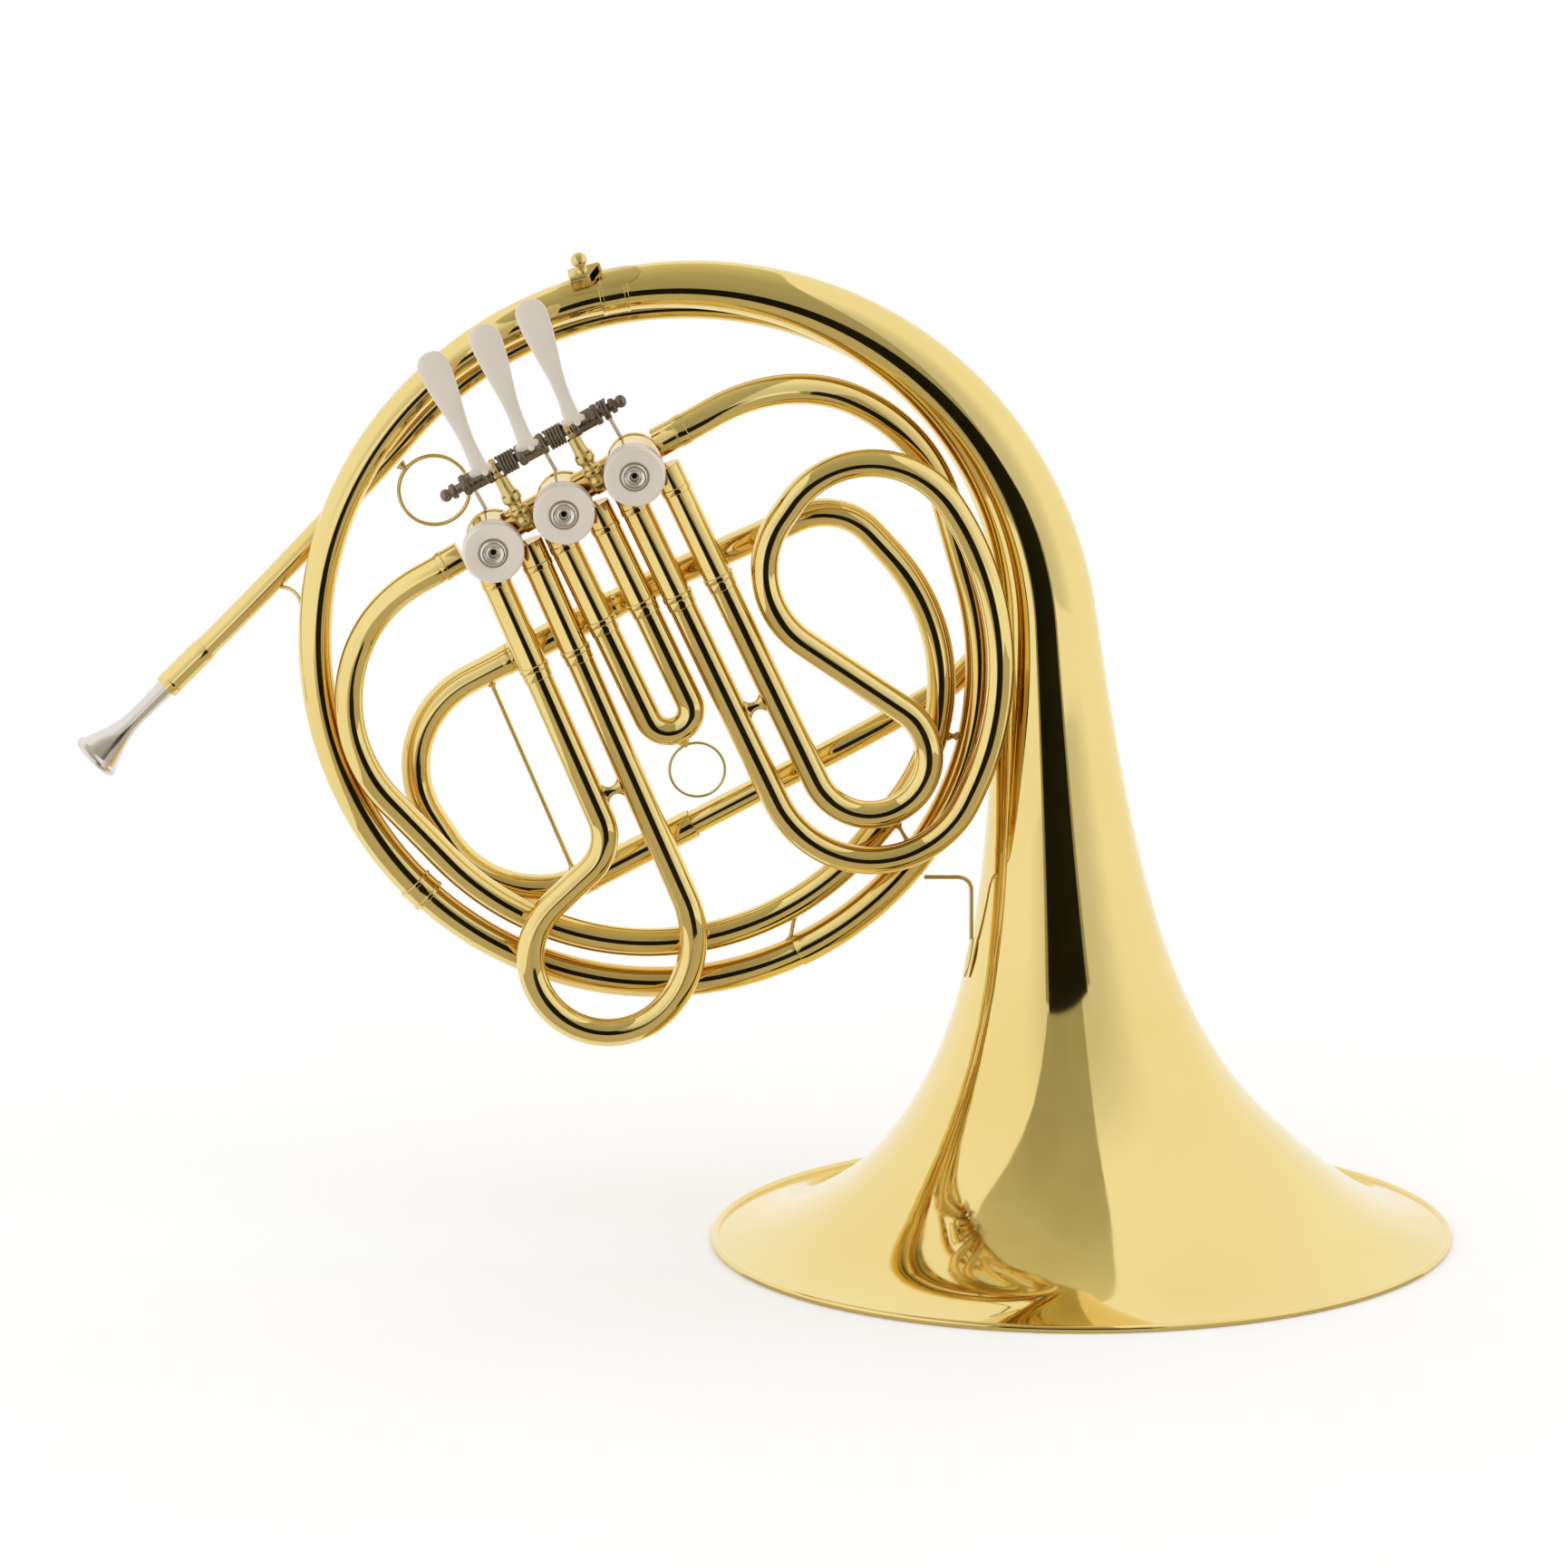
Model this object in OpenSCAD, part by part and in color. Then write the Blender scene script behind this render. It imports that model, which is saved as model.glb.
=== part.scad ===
// Single French horn, standing on its bell.
// Frame: origin at the centre of the bell mouth on the floor, +Z up, the ring
// of tubing lies in the XZ plane and the valve caps face -Y.
// Every tube follows a bend table: straight length, bend radius, signed turn.

/* [Bell] */
// Radius of the bell mouth at the middle of its rolled rim
bell_radius = 152.5; // [150:0.5:155]
// Wall thickness of the bell, tail and bent tubes
wall = 0.6; // [0.5:0.05:0.8]
// Radius of the wire rolled into the rim
rim_wire = 1.6; // [1.4:0.1:1.8]

/* [Tubing] */
// Outer radius of the outer ring tube
ring_radius = 6.4; // [6.2:0.1:6.5]
// Outer radius of the valve slide tubes and their sleeves
slide_radius = 6.3; // [6.1:0.1:6.3]
// Outer radius of the bent valve slide crooks
crook_radius = 5.8; // [5.7:0.1:5.9]
// Outer radius of the return branch
return_radius = 5.9; // [5.7:0.1:5.9]
// Outer radius of the leadpipe at its far end
lead_radius = 5.2; // [4.8:0.1:5.2]
// Outer radius of the inner slide tubes
inner_radius = 5.6; // [5.4:0.1:5.6]
// Radial running clearance of slides, rotors and pivots
clearance = 0.05; // [0.03:0.01:0.08]

/* [Valves] */
// Distance between neighbouring valve axes
valve_pitch = 33.3; // [33.2:0.1:33.5]
// Radius of a rotor
rotor_radius = 10; // [9.8:0.1:10]
// Outer radius of a valve casing
casing_radius = 12; // [11.8:0.1:12]
// Outer radius of a screwed valve cap
cap_radius = 12.8; // [12.3:0.1:12.9]
// Distance from a rotor's axis to its link pin
crank = 5.5; // [5.4:0.1:5.6]

/* [Levers] */
// Distance between neighbouring finger levers
lever_pitch = 21.7; // [21.6:0.1:21.8]
// Length of a lever from its shaft to the tip of its paddle
lever_length = 58; // [56:1:60]
// Half width of a paddle near its tip
paddle_half = 6.2; // [6:0.1:6.6]
// Travel of a lever in degrees
lever_travel = 15; // [15:1:15]

/* [Quality] */
// Sides of a bent tube
tube_sides = 12; // [10:1:14]
// Sides of the bell tail
tail_sides = 20; // [16:1:24]
// Sides of the bell flare
flare_sides = 40; // [32:2:48]

/* [Hidden] */
$fn = 48;

brass = "goldenrod";
nickel = "silver";
dark = "dimgray";

// ---- Plane geometry: a station is [x, z, heading in degrees] ----
function heading_vec(h) = [cos(h), sin(h)];
function right_vec(h) = [sin(h), -cos(h)];
function cross_of(a, b) = a[0] * b[1] - a[1] * b[0];
function point_of(s) = [s[0], s[1]];
function station(p, h) = [p[0], p[1], h];
function beside(s, off) = station(point_of(s) + off * right_vec(s[2]), s[2]);
function ahead(s, d) = station(point_of(s) + d * heading_vec(s[2]), s[2]);
function reversed(s) = station(point_of(s), s[2] + 180);

// Moves a station along an arc of length len that turns by turn degrees
function moved(s, len, turn) =
  turn == 0 ? ahead(s, len) :
  let (rho = len * 180 / PI / turn, c = point_of(s) - rho * right_vec(s[2]))
  station(c + rho * right_vec(s[2] + turn), s[2] + turn);

// A bend table row [straight, radius, turn] becomes pieces [length, turn]
function pieces_of(table) = [
  for (b = table) each [
    if (b[0] > 0) [b[0], 0],
    if (b[2] != 0) [b[1] * abs(b[2]) * PI / 180, b[2]]
  ]
];
function total(pieces, i = 0) =
  i == len(pieces) ? 0 : pieces[i][0] + total(pieces, i + 1);
function end_of(s, pieces, i = 0) =
  i == len(pieces) ? s : end_of(moved(s, pieces[i][0], pieces[i][1]), pieces, i + 1);
function at(s, pieces, l, i = 0) =
  (i == len(pieces) - 1 || l <= pieces[i][0])
    ? moved(s, l, pieces[i][1] * l / pieces[i][0])
    : at(moved(s, pieces[i][0], pieces[i][1]), pieces, l - pieces[i][0], i + 1);

// Adds the last straight, bend and straight that bring a table onto a station
function closed_on(start, table, goal, radius, side) =
  let (
    s = end_of(start, pieces_of(table)),
    raw = ((goal[2] - s[2]) % 360 + 360) % 360,
    turn = side > 0 ? raw : raw - 360,
    reach = cross_of(point_of(goal) - point_of(s), heading_vec(goal[2]))
      / cross_of(heading_vec(s[2]), heading_vec(goal[2])),
    run = reach - radius * tan(abs(turn) / 2),
    done = end_of(s, pieces_of([[run, radius, turn]])),
    rest = (point_of(goal) - point_of(done)) * heading_vec(goal[2])
  )
  concat(table, [[run, radius, turn]], rest > 0.01 ? [[rest, 0, 0]] : []);

// ---- Depth: y along a tube is a smooth step between [length, y] knots ----
function smooth(t) = t * t * (3 - 2 * t);
function depth(l, k, i = 0) =
  l <= k[0][0] ? k[0][1] :
  i == len(k) - 1 ? k[i][1] :
  l <= k[i + 1][0]
    ? k[i][1] + (k[i + 1][1] - k[i][1]) * smooth((l - k[i][0]) / (k[i + 1][0] - k[i][0]))
    : depth(l, k, i + 1);

// A route is [start station, pieces, depth knots]
function route(start, table, knots) = [start, pieces_of(table), knots];
function place(r, l) =
  let (s = at(r[0], r[1], l)) [s[0], depth(l, r[2]), s[1]];
function along_dir(r, l) =
  let (
    s = at(r[0], r[1], l),
    dy = depth(l + 0.5, r[2]) - depth(l - 0.5, r[2]),
    t = [cos(s[2]), dy, sin(s[2])]
  )
  t / norm(t);
function side_dir(r, l) =
  let (s = at(r[0], r[1], l)) [sin(s[2]), 0, -cos(s[2])];
function ring_points(r, l, radius, sides) =
  let (c = place(r, l), a = side_dir(r, l), b = cross(along_dir(r, l), a))
  [for (i = [0:sides - 1]) c + radius * (a * cos(360 * i / sides) + b * sin(360 * i / sides))];
function stops(from, to, step) =
  let (n = ceil((to - from) / step)) [for (i = [0:n]) from + (to - from) * i / n];

// Hollow or solid tube through rings of [length, outer radius, inner radius]
module loft(r, rings, sides) {
  n = len(rings);
  hollow = rings[0][2] > 0;
  outer = [for (q = rings) each ring_points(r, q[0], q[1], sides)];
  inner = hollow ? [for (q = rings) each ring_points(r, q[0], q[2], sides)] : [];
  base = n * sides;
  function id(j, i) = j * sides + i % sides;
  skin = [for (j = [0:n - 2], i = [0:sides - 1])
    [id(j, i), id(j, i + 1), id(j + 1, i + 1), id(j + 1, i)]];
  bore = hollow ? [for (j = [0:n - 2], i = [0:sides - 1])
    [base + id(j, i), base + id(j + 1, i), base + id(j + 1, i + 1), base + id(j, i + 1)]] : [];
  caps = hollow
    ? [for (i = [0:sides - 1]) each [
        [id(0, i), base + id(0, i), base + id(0, i + 1), id(0, i + 1)],
        [id(n - 1, i), id(n - 1, i + 1), base + id(n - 1, i + 1), base + id(n - 1, i)]
      ]]
    : [[for (i = [sides - 1:-1:0]) id(0, i)], [for (i = [0:sides - 1]) id(n - 1, i)]];
  polyhedron(concat(outer, inner), concat(skin, bore, caps), convexity = 8);
}
module bent_tube(r, from, to, radius, step, sides = tube_sides) {
  loft(r, [for (l = stops(from, to, step)) [l, radius, radius - wall]], sides);
}
module bent_rod(r, from, to, radius, step, sides = 8) {
  loft(r, [for (l = stops(from, to, step)) [l, radius, 0]], sides);
}

// Local frame at a station: +Z runs along the heading, +Y stays +Y
module at_station(s, y) {
  translate([s[0], y, s[1]]) rotate([0, 90 - s[2], 0]) children();
}
module pipe(length, outer, inner) {
  difference() {
    cylinder(h = length, r = outer);
    translate([0, 0, -1]) cylinder(h = length + 2, r = inner);
  }
}
module torus(major, minor) {
  rotate_extrude() translate([major, 0]) circle(r = minor);
}

// ---- Layout of the instrument ----
// Depth of the valve plane, the ring plane and the tuning slide plane
valve_y = -27;
ring_y = -8;
tuning_y = 8;

// Main tuning slide: two parallel seams, the crook pulls out down-left
tuning_lean = 28;
upper_seam = [-236.5, 247, tuning_lean];
lower_seam = [-204.5, 153.4, tuning_lean + 180];
sleeve_length = 48;
tuning_radius = 6.2;

// Leadpipe: from the receiver over the top and down into the lower sleeve
lead_start = [-364.8, 250, 45.5];
lead_bends = closed_on(lead_start, [[0, 2046, 3.5], [3.5, 146.5, -86], [0, 116.5, -24.5]],
  lower_seam, 60.5, -1);
lead_length = total(pieces_of(lead_bends));
lead_route = route(lead_start, lead_bends,
  [[0, 5], [110, 5], [230, 12], [350, 23], [445, 23], [560, tuning_y]]);
lead_end = lead_length - sleeve_length;

crook_bends = closed_on(lower_seam, [[0, 45, -85.5]], upper_seam, 41.5, -1);
crook_route = route(lower_seam, crook_bends, [[0, tuning_y]]);
crook_length = total(pieces_of(crook_bends));

// Return branch: from the upper sleeve round the back into the first valve
return_bends = [[133.5, 25.5, -76], [12, 82.5, -81], [19, 116.5, -98.5], [32, 63.5, -101.5],
  [20, 0, 0]];
return_route = route(upper_seam, return_bends,
  [[0, tuning_y], [60, tuning_y], [150, -9], [300, -10], [500, -12.5], [570, -17], [620, -18],
   [668, valve_y]]);

// Bell, tail, outer ring and third valve branch, measured up from the rim
bell_start = [0, 0, 90];
bell_bends = [[0, 600, 3.5], [228.5, 155.5, 32.5], [0, 151, 175.5], [0, 139.5, 56],
  [0, 134.5, 108], [35, 68, 103], [26, 0, 0]];
bell_route = route(bell_start, bell_bends,
  [[0, 0], [300, 0], [560, ring_y], [1200, ring_y], [1300, -10], [1378, valve_y]]);
flare_end = 110;
ferrule_at = 517;
ferrule_length = 12;
seam_at = 846;
seam_length = 9;
sleeve_from = 1019;
sleeve_to = 1087;
branch_end = total(pieces_of(bell_bends)) - 13;

// Horn taper: a long exponential tail, a flare and a steep lip near the mouth
function horn_radius(l) =
  max(ring_radius + 0.5, 49 * exp(-l / 306) + 90.5 * exp(-l / 51.5) + 13 * exp(-l / 4));
function horn_slope(l) = (horn_radius(l + 0.1) - horn_radius(l - 0.1)) / 0.2;
function horn_ring(l) =
  let (r = horn_radius(l - rim_wire) * bell_radius / 152.5)
  [l, r, r - wall * sqrt(1 + pow(horn_slope(l - rim_wire), 2))];

// Valve row: stations along the row, numbered from the mouthpiece side
row_angle = 29;
first_valve = [-243.4, 304];
row_a = heading_vec(row_angle);
row_b = heading_vec(row_angle + 90);
function row_point(a, b) = first_valve + a * row_a + b * row_b;
function valve(i) = row_point(i * valve_pitch, 0);
casing_front = valve_y - 14;
casing_back = valve_y + 14;

// Valve slides: lean from the vertical, and offset of the leg pair
slide_lean = [23.2, 25, 25];
leg_offset = [3.7, 2.1, 2.1];
leg_spacing = 18.6;
seam_depth = [56, 52, 58];
knuckle_end = 17;
function leg(i, side) =
  let (down = station(valve(i), slide_lean[i] - 90))
  beside(down, -leg_offset[i] - side * leg_spacing / 2);
function left_leg(i) = leg(i, -1);
function right_leg(i) = leg(i, 1);

first_table = [[124.5, 20.5, -69.5], [20, 32, 183.5]];
third_table = [[153.5, 43.5, 130.5], [5, 126, 57.5], [0, 39.5, 112.5], [8, 38, 90]];
second_leg = 97;
function slide_table(i) =
  i == 0 ? closed_on(left_leg(0), first_table, reversed(right_leg(0)), 44, 1) :
  i == 1 ? [[second_leg, leg_spacing / 2, 180], [second_leg, 0, 0]] :
  closed_on(left_leg(2), third_table, reversed(right_leg(2)), 24.5, -1);
function slide_route(i) = route(left_leg(i), slide_table(i), [[0, valve_y]]);
function slide_total(i) = total(pieces_of(slide_table(i)));

// Lever work
shaft_b = 29.6;
shaft_y = -40;
shaft_radius = 2;
arm_length = 30;
arm_rest = -8;
lever_tilt = [5.3, 8.2, 8.2];
link_side = [2.6, -2.6, -2.6];
pin_side = [1, 1, -1];
hub_radius = 4.6;
hub_start = [1.9, 28, 53.5];
hub_end = [15.4, 41, 66.5];
function lever_at(i) = 12.1 + lever_pitch * i;
// The link pin stays on one side of its valve axis, the rod nearer the axis
function pin_mean(i) = valve_pitch * i + pin_side[i] * crank * (1 + cos(45)) / 2;
function rod_at(i) = valve_pitch * i + pin_side[i] * 1.5;
function arm_at(i) = rod_at(i) + link_side[i];
tip_b = shaft_b + arm_length * sin(arm_rest);
tip_y = shaft_y + arm_length * cos(arm_rest);
post_at = [17.4, 51.9];

// Row frame: x along the row, y stays y, z across the row away from the slides
module in_row(a, b, y) {
  p = row_point(a, b);
  translate([p[0], y, p[1]]) rotate([0, -row_angle, 0]) children();
}
// Cylinder along the row, centred at the local origin
module row_pin(length, radius) {
  rotate([0, 90, 0]) cylinder(h = length, r = radius, center = true);
}
// Cylinder along +Y from the local origin
module deep_pin(length, radius) {
  rotate([-90, 0, 0]) cylinder(h = length, r = radius);
}

// ---- Bell and ring ----
module bell_flare() {
  color(brass) loft(bell_route,
    [for (l = [2, 4, 7, 12, 19, 28, 39, 52, 68, 88, flare_end]) horn_ring(l)], flare_sides);
}
// Wired edge of the bell, worn flat underneath where it rests
rim_flat = 61;
module bell_rim() {
  lean = rim_wire * sin(rim_flat);
  color(brass) rotate_extrude($fn = 96) polygon([
    for (i = [0:14])
      let (a = i * (180 + 2 * rim_flat) / 14 - rim_flat)
      [bell_radius + rim_wire * cos(a), lean + rim_wire * sin(a)]
  ]);
}
module bell_tail() {
  color(brass) loft(bell_route,
    [for (l = stops(flare_end, ferrule_at, 24)) horn_ring(l)], tail_sides);
}
module ring_ferrules() {
  color(brass) {
    loft(bell_route, [for (l = stops(ferrule_at, ferrule_at + ferrule_length, 6))
      [l, horn_radius(l) + 0.7, horn_radius(l) - wall]], tail_sides);
    loft(bell_route, [for (l = [seam_at, seam_at + seam_length])
      [l, ring_radius + 1.1, ring_radius - wall]], tube_sides);
  }
}
module outer_ring_upper() {
  color(brass) loft(bell_route, [for (l = stops(ferrule_at + ferrule_length, seam_at, 22))
    horn_ring(l)], tube_sides);
}
module outer_ring_lower() {
  color(brass) bent_tube(bell_route, seam_at + seam_length, sleeve_from, ring_radius, 22);
}
module ring_sleeve() {
  color(brass) bent_tube(bell_route, sleeve_from, sleeve_to, ring_radius + 0.5, 18);
}
module third_valve_branch() {
  color(brass) bent_tube(bell_route, sleeve_to, branch_end, ring_radius, 18);
}

// ---- Leadpipe side ----
receiver_length = 21;
receiver_radius = 5.4;
shank_radius = 3.9;
shank_length = 20;
function lead_ring(l) =
  let (r = 4.8 + (lead_radius - 4.8) * l / lead_end) [l, r, r - wall];
module leadpipe() {
  color(brass) loft(lead_route, concat(
    [for (l = [0, 10, 21]) lead_ring(l)],
    [for (l = stops(127, lead_end, 20)) lead_ring(l)]), tube_sides);
}
module mouthpiece_receiver() {
  color(brass) at_station(reversed(lead_start), lead_route[2][0][1]) difference() {
    union() {
      cylinder(h = receiver_length, r = receiver_radius - 0.4);
      cylinder(h = 3, r = receiver_radius + 0.4);
      translate([0, 0, receiver_length - 3]) cylinder(h = 3, r = receiver_radius);
    }
    translate([0, 0, -1]) cylinder(h = receiver_length + 2, r = shank_radius + clearance);
  }
}
module mouthpiece() {
  cup = 43;
  color(nickel) at_station(reversed(lead_start), lead_route[2][0][1])
    translate([0, 0, receiver_length - shank_length]) rotate_extrude() polygon([
      [2.2, 0], [shank_radius, 0], [shank_radius, shank_length + 1], [3.5, shank_length + 18],
      [3.9, shank_length + 22], [5.3, shank_length + 29], [7.6, shank_length + 36],
      [9.2, shank_length + cup - 4], [10.4, shank_length + cup - 3],
      [10.5, shank_length + cup - 1], [9.8, shank_length + cup],
      [8.6, shank_length + cup - 0.6], [6.6, shank_length + 36], [3.8, shank_length + 28],
      [2.1, shank_length + 20]
    ]);
}

// ---- Main tuning slide ----
module tuning_slide_sleeves() {
  color(brass) {
    at_station(upper_seam, tuning_y)
      pipe(sleeve_length, tuning_radius, inner_radius + clearance);
    at_station(reversed(lower_seam), tuning_y)
      pipe(sleeve_length, tuning_radius, inner_radius + clearance);
  }
}
module tuning_slide_inner_tubes() {
  color(nickel) {
    at_station(upper_seam, tuning_y) pipe(sleeve_length - 4, inner_radius, inner_radius - wall);
    at_station(reversed(lower_seam), tuning_y)
      pipe(sleeve_length - 4, inner_radius, inner_radius - wall);
  }
}
module tuning_slide_crook() {
  color(brass) bent_tube(crook_route, 0, crook_length, tuning_radius, 11);
}
module tuning_slide_brace() {
  from = ahead(reversed(upper_seam), 12);
  to = ahead(lower_seam, 5);
  gap = norm(point_of(to) - point_of(from));
  aim = atan2(to[1] - from[1], to[0] - from[0]);
  color(brass) at_station(station(point_of(from), aim), tuning_y)
    translate([0, 0, tuning_radius - 0.2])
      cylinder(h = gap - 2 * tuning_radius + 0.4, r = 1, $fn = 16);
}
module return_branch() {
  color(brass) bent_tube(return_route, sleeve_length, total(return_route[1]) - 11,
    return_radius, 17);
}

// ---- Rotary valves ----
row_tube_b = 3.5;
port_radius = slide_radius - 1;
module stub(s, from, to, radius) {
  at_station(ahead(s, from), valve_y) {
    sphere(r = radius);
    cylinder(h = to - from, r = radius);
  }
}
module row_stub(i, side, to, radius) {
  in_row(valve_pitch * i, row_tube_b, valve_y) rotate([0, 90 * side, 0])
    cylinder(h = to, r = radius);
}
module valve_ports(i, radius) {
  inlet = reversed(end_of(return_route[0], return_route[1]));
  outlet = reversed(end_of(bell_route[0], bell_route[1]));
  for (side = [-1, 1])
    stub(leg(i, side), 5, knuckle_end, radius);
  if (i > 0) row_stub(i, -1, valve_pitch / 2, radius);
  if (i < 2) row_stub(i, 1, valve_pitch / 2, radius);
  if (i == 0) at_station(inlet, valve_y) cylinder(h = 11, r = radius);
  if (i == 2) at_station(outlet, valve_y) cylinder(h = 13, r = radius);
}
module valve_casing(i) {
  v = valve(i);
  color(brass) difference() {
    union() {
      translate([v[0], casing_front, v[1]]) deep_pin(casing_back - casing_front, casing_radius);
      valve_ports(i, slide_radius);
    }
    translate([v[0], casing_front - 1, v[1]])
      deep_pin(casing_back - casing_front - 2, rotor_radius + clearance);
    translate([v[0], casing_back - 4, v[1]]) deep_pin(6, spindle_radius + clearance);
    difference() {
      valve_ports(i, port_radius);
      translate([v[0], casing_back - 3, v[1]]) deep_pin(8, casing_radius);
    }
  }
}
spindle_radius = 3;
rotor_length = 21;
plate_thickness = 2.5;
module bearing_plate(i) {
  v = valve(i);
  color(brass) translate([v[0], casing_front + 0.2, v[1]]) difference() {
    deep_pin(plate_thickness, rotor_radius);
    translate([0, -1, 0]) deep_pin(plate_thickness + 2, spindle_radius - 0.5 + clearance);
  }
}
module valve_cap(i) {
  v = valve(i);
  front = -5;
  color(nickel) translate([v[0], casing_front, v[1]]) difference() {
    union() {
      translate([0, front + 0.8, 0]) deep_pin(7.2, cap_radius);
      translate([0, front, 0]) deep_pin(2, cap_radius - 0.8);
      translate([0, front - 0.8, 0]) deep_pin(2, 4.6);
      translate([0, front - 1.4, 0]) deep_pin(2, 2.9);
    }
    translate([0, front + 2.2, 0]) deep_pin(10, casing_radius + clearance);
    translate([0, front - 3, 0]) deep_pin(4, 1.2);
  }
}
module rotor(i) {
  v = valve(i);
  start = casing_front + plate_thickness + 0.4;
  color(nickel) translate([v[0], 0, v[1]]) difference() {
    union() {
      translate([0, start, 0]) deep_pin(rotor_length, rotor_radius);
      translate([0, start - 2.4, 0]) deep_pin(3, spindle_radius - 0.5);
      translate([0, start + rotor_length - 1, 0])
        deep_pin(arm_plane + arm_thick - start - rotor_length + 1, spindle_radius);
    }
    for (s = [-1, 1])
      translate([0, valve_y, 0]) rotate([0, -slide_lean[i] - 90 + 90 * s, 0])
        translate([0, 0, rotor_radius * sqrt(2)]) rotate([90, 0, 0])
          torus(rotor_radius, 3.8);
  }
}
arm_plane = casing_back + 0.5;
arm_thick = 3;
pin_length = 5;
eye_thick = 2;
// Angle of the link pin from the row direction when the lever is up
function pin_angle(i) = 90 - 45 * pin_side[i];
module stop_arm(i) {
  color(brass) in_row(valve_pitch * i, 0, arm_plane) rotate([0, -pin_angle(i), 0]) {
    difference() {
      union() {
        deep_pin(arm_thick, 5);
        translate([crank, 0, 0]) deep_pin(arm_thick, 2);
        translate([-9.5, 0, -1.5]) cube([7, arm_thick, 3]);
      }
      translate([0, -1, 0]) deep_pin(arm_thick + 2, spindle_radius);
    }
    translate([crank, arm_thick, 0]) deep_pin(pin_length, 1);
    translate([crank, arm_thick + pin_length, 0]) deep_pin(0.8, 2.9);
  }
}
module stop_corks() {
  reach = 8.5;
  radius = 1.8;
  spread = asin((1.5 + radius + 0.15) / reach);
  color("tan") for (i = [0:2], end = [0, 1])
    in_row(valve_pitch * i, 0, casing_back)
      rotate([0, -pin_angle(i) - 180 - pin_side[i] * (end == 0 ? spread : -90 - spread), 0])
        translate([reach, 0, 0]) deep_pin(3.4, radius);
}

// ---- Lever work ----
// Half width of a paddle at t from 0 at the shaft to 1 near the tip
function paddle_width(t) =
  2.2 + 0.5 * exp(-t * 14) + (paddle_half - 2.2) * smooth(min(1, max(0, (t - 0.3) / 0.6)));
module paddle_outline() {
  tip = lever_length - paddle_half;
  side = [for (t = [0:0.1:1]) [paddle_width(t), 2 + (tip - 2) * t]];
  arc = [for (a = [15:15:165]) [paddle_half * cos(a), tip + paddle_half * sin(a)]];
  back = [for (k = [len(side) - 1:-1:0]) [-side[k][0], side[k][1]]];
  polygon(concat(side, arc, back));
}
module lever(i) {
  color(nickel) difference() {
    union() {
      in_row((hub_start[i] + hub_end[i]) / 2, shaft_b, shaft_y)
        row_pin(hub_end[i] - hub_start[i], hub_radius);
      in_row(lever_at(i), shaft_b, shaft_y - 4.2) rotate([0, lever_tilt[i], 0])
        rotate([90, 0, 0]) translate([0, 0, -1.8]) linear_extrude(1.8) paddle_outline();
      in_row(arm_at(i), shaft_b, shaft_y) rotate([arm_rest, 0, 0]) {
        translate([-1.5, 2, -1.6]) cube([3, arm_length - 2, 3.2]);
        translate([0, arm_length, 0]) row_pin(3, 2.4);
      }
    }
    in_row((hub_start[i] + hub_end[i]) / 2, shaft_b, shaft_y)
      row_pin(40, shaft_radius + clearance);
    in_row(arm_at(i), tip_b, tip_y) row_pin(6, 1 + clearance);
  }
}
module link(i) {
  eye_y = arm_plane + arm_thick + pin_length - eye_thick - 0.5;
  rise = tip_b - crank * sin(45);
  color(nickel) {
    in_row(rod_at(i), tip_b, tip_y) {
      translate([link_side[i], 0, 0]) row_pin(3.6, 1);
      translate([-0.9, -1.4, -1.4]) cube([1.8, eye_y - tip_y + eye_thick + 1.4, 2.8]);
      translate([0, eye_y - tip_y + eye_thick / 2, -rise + 1.5]) cylinder(h = rise - 1.5, r = 0.9);
      translate([pin_mean(i) - rod_at(i), eye_y - tip_y, -rise]) difference() {
        deep_pin(eye_thick, 3.8);
        translate([0, -1, 0]) deep_pin(eye_thick + 2, 2.3);
      }
    }
  }
}
module lever_shaft() {
  color(dark) {
    in_row(35.3, shaft_b, shaft_y) row_pin(76, shaft_radius);
    for (end = [-1, 1]) in_row(35.3 + end * 37.5, shaft_b, shaft_y) {
      row_pin(2.5, 3.2);
      translate([end * 3.4, 0, 0]) sphere(r = 2.6);
    }
  }
}
module lever_posts() {
  foot = valve_y - slide_radius;
  for (a = post_at) color(brass) difference() {
    union() {
      in_row(a, 0, shaft_y) {
        translate([0, 0, 4]) cylinder(h = shaft_b - 12, r = 2.2);
        translate([0, 0, shaft_b - 10]) cylinder(h = 10, r = 1.2);
        for (z = [8, 14.5]) translate([0, 0, z]) cylinder(h = 2.2, r = 3.3);
        translate([0, 0, shaft_b]) row_pin(2.4, hub_radius);
        translate([-2.2, -2.2, 1.5]) cube([4.4, foot - shaft_y + 2.4, 4.6]);
      }
    }
    in_row(a, shaft_b, shaft_y) row_pin(10, shaft_radius);
  }
}
module lever_springs() {
  wire = 0.65;
  color(dark) for (span = [[19, 27.6], [41.4, 50.3], [66.9, 71.1]])
    for (a = [span[0] + wire:1.5:span[1] - wire])
      in_row(a, shaft_b, shaft_y) rotate([0, 90, 0]) torus(hub_radius - 0.9, wire, $fn = 24);
}

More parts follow.
